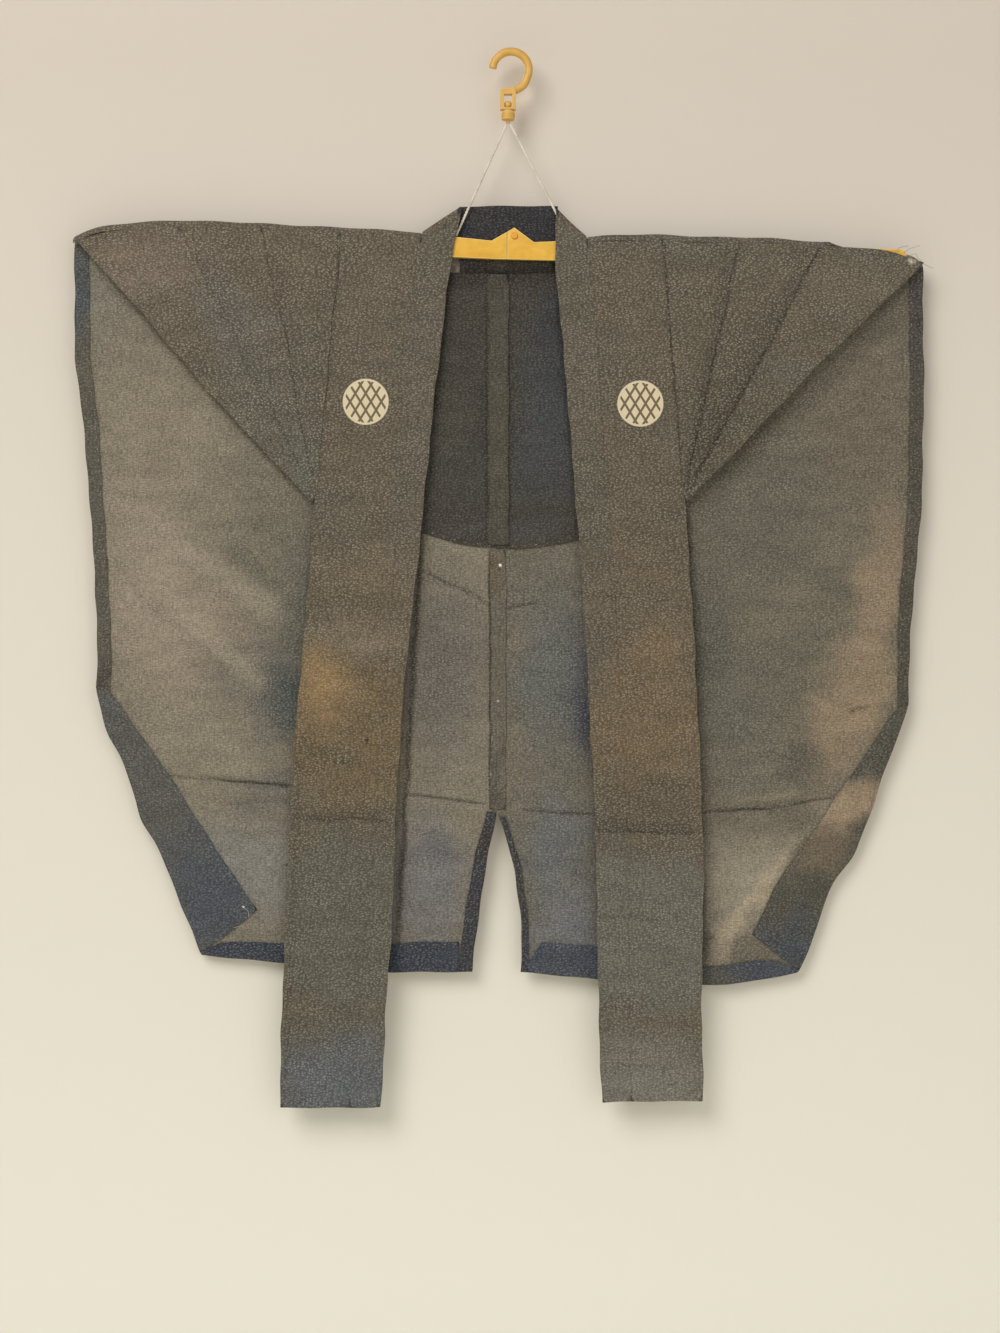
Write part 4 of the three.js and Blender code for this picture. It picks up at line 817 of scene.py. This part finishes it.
# Hems, turned corners, lining and seam allowances: cloth folded to the inside of the back and
# stitched down by hand. Turned this way its right side shows, with the dye darker and bluer.
HEM_GREY = rgb(86, 81, 71)
HEM_NAVY = rgb(54, 59, 69)
LINING_DARK = rgb(64, 60, 53)
Lying = namedtuple("Lying", "ground second patches dots", defaults=[0.24])
lying = {
    "side_hem_right": Lying(HEM_GREY, rgb(84, 79, 70), [
        Patch(-352, 195, 20, 60, 0, 0.8, rgb(66, 74, 80), 0.8),
        Patch(-330, 505, 14, 18, 0, 0.9, rgb(64, 58, 54), 0.7),
    ]),
    "side_hem_left": Lying(rgb(74, 69, 60), rgb(80, 74, 64), [
        Patch(330, 200, 20, 90, 0, 0.9, rgb(62, 60, 60), 0.7),
    ]),
    "corner_flap_right": Lying(rgb(84, 82, 78), rgb(80, 80, 78), [
        Patch(-238, 680, 76, 90, 0, 0.95, rgb(68, 73, 82), 0.95),
    ]),
    "corner_flap_left": Lying(rgb(74, 72, 64), rgb(80, 77, 67), [
        Patch(272, 612, 54, 27, 20, 0.75, rgb(150, 131, 107), 1),
        Patch(256, 645, 44, 30, 30, 0.9, rgb(112, 98, 81), 0.8),
        Patch(228, 724, 50, 44, 0, 0.9, rgb(66, 70, 76), 0.95),
    ]),
    "bottom_hem_right": Lying(HEM_NAVY, rgb(54, 60, 72), []),
    "bottom_hem_left": Lying(rgb(64, 69, 80), rgb(68, 72, 80), [
        Patch(165, 750, 40, 20, 0, 0.9, rgb(86, 82, 72), 0.7),
    ]),
    "vent_hem_right": Lying(rgb(54, 53, 58), rgb(58, 58, 62), [
        Patch(-20, 640, 20, 30, 0, 0.9, rgb(56, 50, 48), 0.7),
    ]),
    "vent_hem_left": Lying(rgb(58, 56, 56), rgb(54, 56, 64), []),
    "shoulder_lining": Lying(LINING_DARK, rgb(62, 59, 54), [
        Patch(36, 240, 44, 90, 0, 0.9, rgb(58, 58, 61), 0.9),
        Patch(34, 215, 14, 26, 0, 0.9, rgb(50, 51, 58), 0.5),
        Patch(-50, 300, 34, 90, 0, 0.9, rgb(70, 67, 58), 0.6),
        # Painted shadow of the hanger's arms: a dark band across the lining's top.
        Patch(0, 172, 120, 22, 0, 0.8, rgb(47, 41, 34), 0.85),
        Patch(0, 340, 90, 40, 0, 0.9, rgb(66, 64, 62), 0.6),
        Patch(34, 310, 50, 90, 0, 0.9, rgb(64, 67, 71), 0.7),
        Patch(0, 386, 70, 16, 0, 0.9, rgb(70, 70, 72), 0.5),
    ], 0.15),
    "lining_seam_allowance": Lying(rgb(79, 74, 64), rgb(74, 70, 61), [
        Patch(-10, 300, 14, 60, 0, 0.9, rgb(76, 73, 61), 0.7),
        # Painted shadow of the hanger's arms at the allowance's top.
        Patch(-10, 176, 20, 20, 0, 0.8, rgb(58, 52, 44), 0.7),
    ], 0.15),
    "centre_seam_allowance": Lying(rgb(98, 92, 79), rgb(104, 98, 86), [
        Patch(-10, 590, 12, 60, 0, 0.9, rgb(74, 69, 62), 0.7),
        Patch(-10, 420, 12, 26, 0, 0.9, rgb(92, 80, 62), 0.7),
    ]),
}
LYING_MARKS = [
    Patch(-1.2, 243, 1.4, 2.2, 0, 0.6, rgb(20, 18, 18), 0.9),
    Patch(-217, 691, 1.8, 1.2, 0, 0.7, PALE_SPOT, 0.8),
    Patch(-210.6, 679, 1.2, 0.9, 0, 0.7, PALE_SPOT, 0.5),
]
LYING_SEAM_AND_SHADE = [
    # Painted shade along both edges of the lining's seam allowance.
    Stroke(-18.6, 180, -18.6, 398, 3.4, rgb(48, 43, 36), 0.6),
    Stroke(-0.2, 180, -0.2, 398, 4.4, rgb(50, 45, 38), 0.5),
    Stroke(-16.8, 396, -16.4, 616, 1.7, rgb(44, 39, 34), 0.8),
    # Painted shadow on the lining along the collars' free edges, darker beside the right collar.
    Stroke(-51, 172, -62, 268, 6, rgb(32, 26, 22), 0.8),
    Stroke(-61, 262, -84, 400, 6, rgb(32, 26, 24), 0.75),
    Stroke(37, 172, 51, 330, 4, rgb(44, 42, 42), 0.5),
    Stroke(50, 322, 58, 400, 4, rgb(44, 42, 42), 0.4),
]
for seed, (node, cloth_row) in enumerate(lying.items()):
    piece = cloth_on(node, 3, BACK_CREASES)
    piece.data.materials.append(hemp(
        f"{node}_hemp", cloth_row.ground, cloth_row.second, cloth_row.patches, cloth_row.dots, 0,
        60 + 3 * seed,
        LYING_MARKS + BACK_MARKS, LYING_SEAM_AND_SHADE,
    ))
    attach(piece, "root")
    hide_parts(node)
    sewn[node] = piece

# A row for the flat cloth that a panel was cut from, hanging from the hanger.
Cut = namedtuple("Cut", "flat area rests_on with_pieces")  # metres and square metres

# Thread: hems and lining are held by small hand stitches of faded thread, a few of them gone. At
# the worn left tip the cloth has frayed into loose yarns, and two thread ends hang at the right flap.
STITCH_RUNS = {
    "side_hem_right": [
        (-343.5, 172), (-343.5, 243), (-337.8, 286), (-333.1, 345), (-332.8, 370), (-328.6, 421),
        (-326.6, 491), (-327.2, 506),
    ],
    "side_hem_left": [(326, 190), (327, 275), (325, 374), (318, 437), (317.6, 498), (317.2, 518)],
    "corner_flap_right": [
        (-324, 522), (-295.6, 561), (-278.6, 585), (-252.6, 628), (-234, 655), (-208.5, 692),
    ],
    "corner_flap_left": [
        (313, 535), (295.6, 561), (268.6, 601), (252.6, 626), (220.4, 669), (200.4, 711),
    ],
    "bottom_hem_right": [(-44, 720.4), (-99, 722.2), (-181, 722.2), (-230, 721)],
    "bottom_hem_left": [(29, 721), (71, 723.8), (155, 742.2), (192, 737.4), (218, 736)],
    "vent_hem_right": [(-18, 618), (-26.6, 649), (-35, 694), (-38.6, 716)],
    "vent_hem_left": [(-6.4, 620), (5.7, 649), (9.8, 673), (13.6, 708)],
    "shoulder_lining": [
        (-72, 383.6), (-54, 389.6), (-36, 394), (-18, 396.4), (0, 397.2), (18, 396.4), (36, 394),
        (54, 389.6), (62, 387.2),
    ],
}
STITCH_SPACING = 9
STITCHES_LEFT = 0.82  # share of them that hasn't worn away
STITCH_LENGTH = 1.5
THREAD_RADIUS = 0.2
LOOSE_YARNS = [
    [(318.6, -3, 160.4), (322.2, -3.4, 157.5), (325.8, -3.2, 156.1), (331.6, -2.4, 154.3)],
    [(323.1, -4.2, 162.6), (328, -4.4, 161.5), (329.4, -4.2, 164.7), (333, -3.6, 166.9)],
    [(311.4, -4, 159.9), (315, -4.3, 156.3), (322.2, -3.8, 154.8)],
    [(332.6, -3.8, 168.4), (338.4, -2.6, 171), (342.5, -1.4, 172.3)],
    [(323.6, -4.6, 171), (327.6, -4.9, 172.3), (330.3, -4.6, 170.2), (328.4, -4.4, 166.6)],
    [(320, -4.4, 162), (324.6, -4.8, 164.6), (325.8, -4.6, 168.6)],
    [(-224, 6.3, 707), (-218, 5.2, 705.6), (-212, 5.4, 708), (-214.4, 5.6, 703.6)],
    [(-217.6, 6.4, 690.6), (-213, 5, 693), (-212.2, 4.8, 698)],
]


def on_cloth(piece, run):
    """Points of a run laid on the face of a piece that the viewer sees."""
    tree = BVHTree.FromPolygons(
        [vert.co for vert in piece.data.vertices], [face.vertices for face in piece.data.polygons]
    )
    laid = []
    for (x1, down1), (x2, down2) in zip(run, run[1:]):
        count = max(2, round(math.hypot(x2 - x1, down2 - down1) / 6))
        for share in np.linspace(0, 1, count, endpoint=False):
            start = Vector((x1 + share * (x2 - x1), -100, -down1 - share * (down2 - down1))) * MM
            hit = tree.ray_cast(start, Vector((0, 1, 0)))[0]
            if hit:
                laid.append(hit - Vector((0, 0.05 * MM, 0)))
    return laid


def lines(name, runs):
    """An object of bare edges through the points of each run."""
    verts = [point for run in runs for point in run]
    edges, first = [], 0
    for run in runs:
        edges += [(first + i, first + i + 1) for i in range(len(run) - 1)]
        first += len(run)
    mesh = bpy.data.meshes.new(name)
    mesh.from_pydata(verts, edges, [])
    return placed(name, mesh)


class Rule:
    """A tree of Geometry Nodes with named inputs."""

    def __init__(self, name, inputs):
        self.tree = bpy.data.node_groups.new(name, "GeometryNodeTree")
        self.tree.interface.new_socket("Geometry", in_out="INPUT", socket_type="NodeSocketGeometry")
        self.tree.interface.new_socket("Geometry", in_out="OUTPUT", socket_type="NodeSocketGeometry")
        self.names = {
            key: self.tree.interface.new_socket(key, in_out="INPUT", socket_type=kind).identifier
            for key, kind in inputs.items()
        }
        self.given = self.tree.nodes.new("NodeGroupInput").outputs

    def add(self, kind, sockets=None, **settings):
        return add_node(self.tree, kind, sockets, **settings).outputs

    def plain_mesh(self, drawn, made, values):
        """Ends the tree, runs it on an object of lines, and gives the result as a plain mesh."""
        real = self.add("GeometryNodeRealizeInstances", {"Geometry": made})[0]
        dressed = self.add(
            "GeometryNodeSetMaterial", {"Geometry": real, "Material": self.given["Thread"]}
        )[0]
        end = self.tree.nodes.new("NodeGroupOutput")
        self.tree.links.new(dressed, end.inputs["Geometry"])
        grow = drawn.modifiers.new("rule", "NODES")
        grow.node_group = self.tree
        for key, value in values.items():
            grow[self.names[key]] = value
        seen = drawn.evaluated_get(bpy.context.evaluated_depsgraph_get())
        mesh = bpy.data.meshes.new_from_object(seen)
        drawn.modifiers.clear()
        drawn.data = mesh
        return drawn


def stitches(drawn, thread):
    """A short stitch at every step along the runs, each a little different and some worn away."""
    rule = Rule("stitches", {
        "Spacing": "NodeSocketFloat", "Length": "NodeSocketFloat", "Radius": "NodeSocketFloat",
        "Seed": "NodeSocketInt", "Thread": "NodeSocketMaterial",
    })
    given = rule.given
    runs = rule.add("GeometryNodeMeshToCurve", {"Mesh": given["Geometry"]})[0]
    steps = rule.add(
        "GeometryNodeResampleCurve", {"Curve": runs, "Length": given["Spacing"]}, mode="LENGTH"
    )[0]
    tangent = rule.add("GeometryNodeInputTangent")[0]
    turned = rule.add("FunctionNodeAlignRotationToVector", {"Vector": tangent}, axis="Z")[0]
    kept = rule.add(
        "FunctionNodeRandomValue", {"Probability": STITCHES_LEFT, "Seed": given["Seed"]},
        data_type="BOOLEAN",
    )["Value"]
    size = rule.add(
        "FunctionNodeRandomValue",
        {"Min": (0.7, 0.7, 0.5), "Max": (1.2, 1.2, 1.4), "Seed": given["Seed"]},
        data_type="FLOAT_VECTOR",
    )["Value"]
    thread_bit = rule.add(
        "GeometryNodeMeshCylinder", {"Vertices": 6, "Radius": given["Radius"], "Depth": given["Length"]}
    )["Mesh"]
    made = rule.add("GeometryNodeInstanceOnPoints", {
        "Points": steps, "Selection": kept, "Instance": thread_bit, "Rotation": turned, "Scale": size,
    })[0]
    return rule.plain_mesh(drawn, made, {
        "Spacing": STITCH_SPACING * MM, "Length": STITCH_LENGTH * MM, "Radius": THREAD_RADIUS * MM,
        "Seed": 7, "Thread": thread,
    })


def yarns(drawn, thread):
    """A thin round yarn along each run."""
    rule = Rule("yarns", {"Radius": "NodeSocketFloat", "Thread": "NodeSocketMaterial"})
    runs = rule.add("GeometryNodeMeshToCurve", {"Mesh": rule.given["Geometry"]})[0]
    soft = rule.add("GeometryNodeCurveSplineType", {"Curve": runs}, spline_type="CATMULL_ROM")[0]
    fine = rule.add("GeometryNodeResampleCurve", {"Curve": soft, "Count": 24}, mode="COUNT")[0]
    ring = rule.add(
        "GeometryNodeCurvePrimitiveCircle", {"Resolution": 6, "Radius": rule.given["Radius"]}
    )[0]
    made = rule.add(
        "GeometryNodeCurveToMesh", {"Curve": fine, "Profile Curve": ring, "Fill Caps": True}
    )[0]
    return rule.plain_mesh(drawn, made, {"Radius": THREAD_RADIUS * MM, "Thread": thread})


faded = Finish("thread_cotton", rgb(150, 143, 124), 0.9)
faded.tint(rgb(184, 176, 154), faded.steps(faded.cloud(9, 9, 3), 0.4, 0.65))
thread_fibre = faded.cloud(0.5, 0.7, 5, 3)
faded.shade(faded.steps(thread_fibre, 0.3, 0.7, 0.85, 1.06))
thread_cotton = faded.close(thread_fibre, 0.05 * MM)
sewing = stitches(
    lines("hem_stitches", [on_cloth(sewn[name], run) for name, run in STITCH_RUNS.items()]),
    thread_cotton,
)
frayed = yarns(
    lines("loose_yarns", [
        [Vector((x, depth, -down)) * MM for x, depth, down in run] for run in LOOSE_YARNS
    ]),
    thread_cotton,
)
for piece in (sewing, frayed):
    piece.data.shade_smooth()
    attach(piece, "root")

# Folding hanger of yellow plastic: two arms under a gable with a pin, a barrel that turns below
# the hook's frame, and the hook. The moulded edges are slightly rounded. The rounded edges carry
# painted light: a paler copy of the plastic on the hook and arms as painted highlight, a darker
# copy on the pin as painted shade.
def moulded(name, colour, second):
    plastic = Finish(name, colour, 0.42)
    plastic.tint(second, plastic.steps(plastic.cloud(22, 22, 5), 0.35, 0.7))
    grain = plastic.cloud(0.7, 0.7, 9, 2)
    plastic.shade(plastic.steps(plastic.cloud(5, 5, 3, 4), 0.3, 0.75, 0.93, 1.04))
    return plastic.close(grain, 0.04 * MM)


# Edge copies of each plastic: the paler ones on the hook and arms are painted highlight, the darker one
# on the pin is painted shade.
hook_yellow = moulded("hook_plastic", rgb(214, 165, 74), rgb(222, 176, 88))
hook_highlight_rim = moulded("hook_edge_painted_highlight", rgb(226, 186, 116), rgb(218, 176, 104))
arm_yellow = moulded("arm_plastic", rgb(224, 170, 42), rgb(234, 182, 58))
arm_highlight_rim = moulded("arm_edge_painted_highlight", rgb(246, 214, 130), rgb(240, 200, 110))
pin_yellow = moulded("pin_plastic", rgb(230, 164, 42), rgb(224, 158, 44))
pin_shade_rim = moulded("pin_edge_painted_shade", rgb(206, 132, 40), rgb(214, 142, 46))
hanger = {
    "hanger_hook": (hook_yellow, hook_highlight_rim),
    "hanger_swivel_head": (hook_yellow, hook_highlight_rim),
    "hanger_barrel": (hook_yellow, hook_highlight_rim),
    "hanger_arm_right": (arm_yellow, arm_highlight_rim),
    "hanger_arm_left": (arm_yellow, arm_highlight_rim),
    "hanger_pin": (pin_yellow, pin_shade_rim),
}


def rounded(node, width):
    """A moulded piece with its sharp edges rounded."""
    solid = bmesh.new()
    solid.from_mesh(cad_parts[node].data)
    bmesh.ops.remove_doubles(solid, verts=solid.verts, dist=0.01 * MM)
    bmesh.ops.dissolve_limit(
        solid, angle_limit=math.radians(2), verts=solid.verts, edges=solid.edges
    )
    sharp = [edge for edge in solid.edges if edge.calc_face_angle(0) > math.radians(40)]
    # The rounded edges take the second material: the painted highlight of the hook and arms, the
    # painted shade of the pin.
    bmesh.ops.bevel(
        solid, geom=sharp, offset=width, segments=3, profile=0.6, affect="EDGES",
        clamp_overlap=True, material=1,
    )
    mesh = bpy.data.meshes.new(f"{node}_moulding")
    solid.to_mesh(mesh)
    solid.free()
    mesh.shade_smooth()
    mesh.set_sharp_from_angle(angle=math.radians(42))
    return placed(f"{node}_moulding", mesh)


for node, plastics in hanger.items():
    piece = rounded(node, 0.5 * MM)
    for plastic in plastics:
        piece.data.materials.append(plastic)
    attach(piece, "root")
    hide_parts(node)

# Strings of white cotton, two plies twisted together, tied between the barrel and each arm. The
# vest hangs on them, so they are taut.
STRING_ENDS = {
    "right": ((-2.9, -55.9), (-43.8, -146)),
    "left": ((0.5, -55.9), (49, -150)),
}
STRING_RADIUS = 1.15
TWIST_PITCH = 5.2
STRING_SIDES, STRING_STEPS = 14, 240
PLY_DEPTH = 0.34  # share of the radius that the groove between the plies takes


def twisted(name, start, end):
    """A two-ply string along a straight line, with the points of its middle."""
    middle = np.linspace((start[0], 0, start[1]), (end[0], 0, end[1]), STRING_STEPS) * MM
    run = (middle[-1] - middle[0]) / np.linalg.norm(middle[-1] - middle[0])
    aside, across = np.cross(run, (0, 1, 0)), np.array((0, 1, 0))
    length = np.linalg.norm(middle - middle[0], axis=1) / MM
    sides = STRING_SIDES
    verts = []
    for point, far in zip(middle, length):
        for i in range(sides):
            angle = 2 * math.pi * i / sides
            ply = abs(math.cos(angle - 2 * math.pi * far / TWIST_PITCH))
            radius = STRING_RADIUS * (1 - PLY_DEPTH + PLY_DEPTH * ply) * MM
            verts.append(point + radius * (math.cos(angle) * aside + math.sin(angle) * across))
    faces = [
        (row * sides + i, row * sides + (i + 1) % sides,
         (row + 1) * sides + (i + 1) % sides, (row + 1) * sides + i)
        for row in range(len(middle) - 1) for i in range(sides)
    ]
    last = (len(middle) - 1) * sides
    faces += [tuple(reversed(range(sides))), tuple(last + i for i in range(sides))]
    mesh = bpy.data.meshes.new(name)
    mesh.from_pydata(verts, [], faces)
    tidy = bmesh.new()
    tidy.from_mesh(mesh)
    bmesh.ops.recalc_face_normals(tidy, faces=tidy.faces)
    tidy.to_mesh(mesh)
    tidy.free()
    mesh.shade_smooth()
    return placed(name, mesh), middle


cotton = Finish("string_cotton", rgb(226, 219, 203), 0.9)
cotton.tint(rgb(206, 196, 176), cotton.steps(cotton.cloud(9, 14, 3), 0.4, 0.7))
cotton_fibre = cotton.cloud(0.5, 0.9, 5, 3)
cotton.shade(cotton.steps(cotton_fibre, 0.3, 0.7, 0.86, 1.06))
cotton_white = cotton.close(cotton_fibre, 0.12 * MM)
for side, (start, end) in STRING_ENDS.items():
    string, middle = twisted(f"string_{side}", start, end)
    string.data.materials.append(cotton_white)
    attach(string, "root")
    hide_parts(f"hanger_string_{side}")
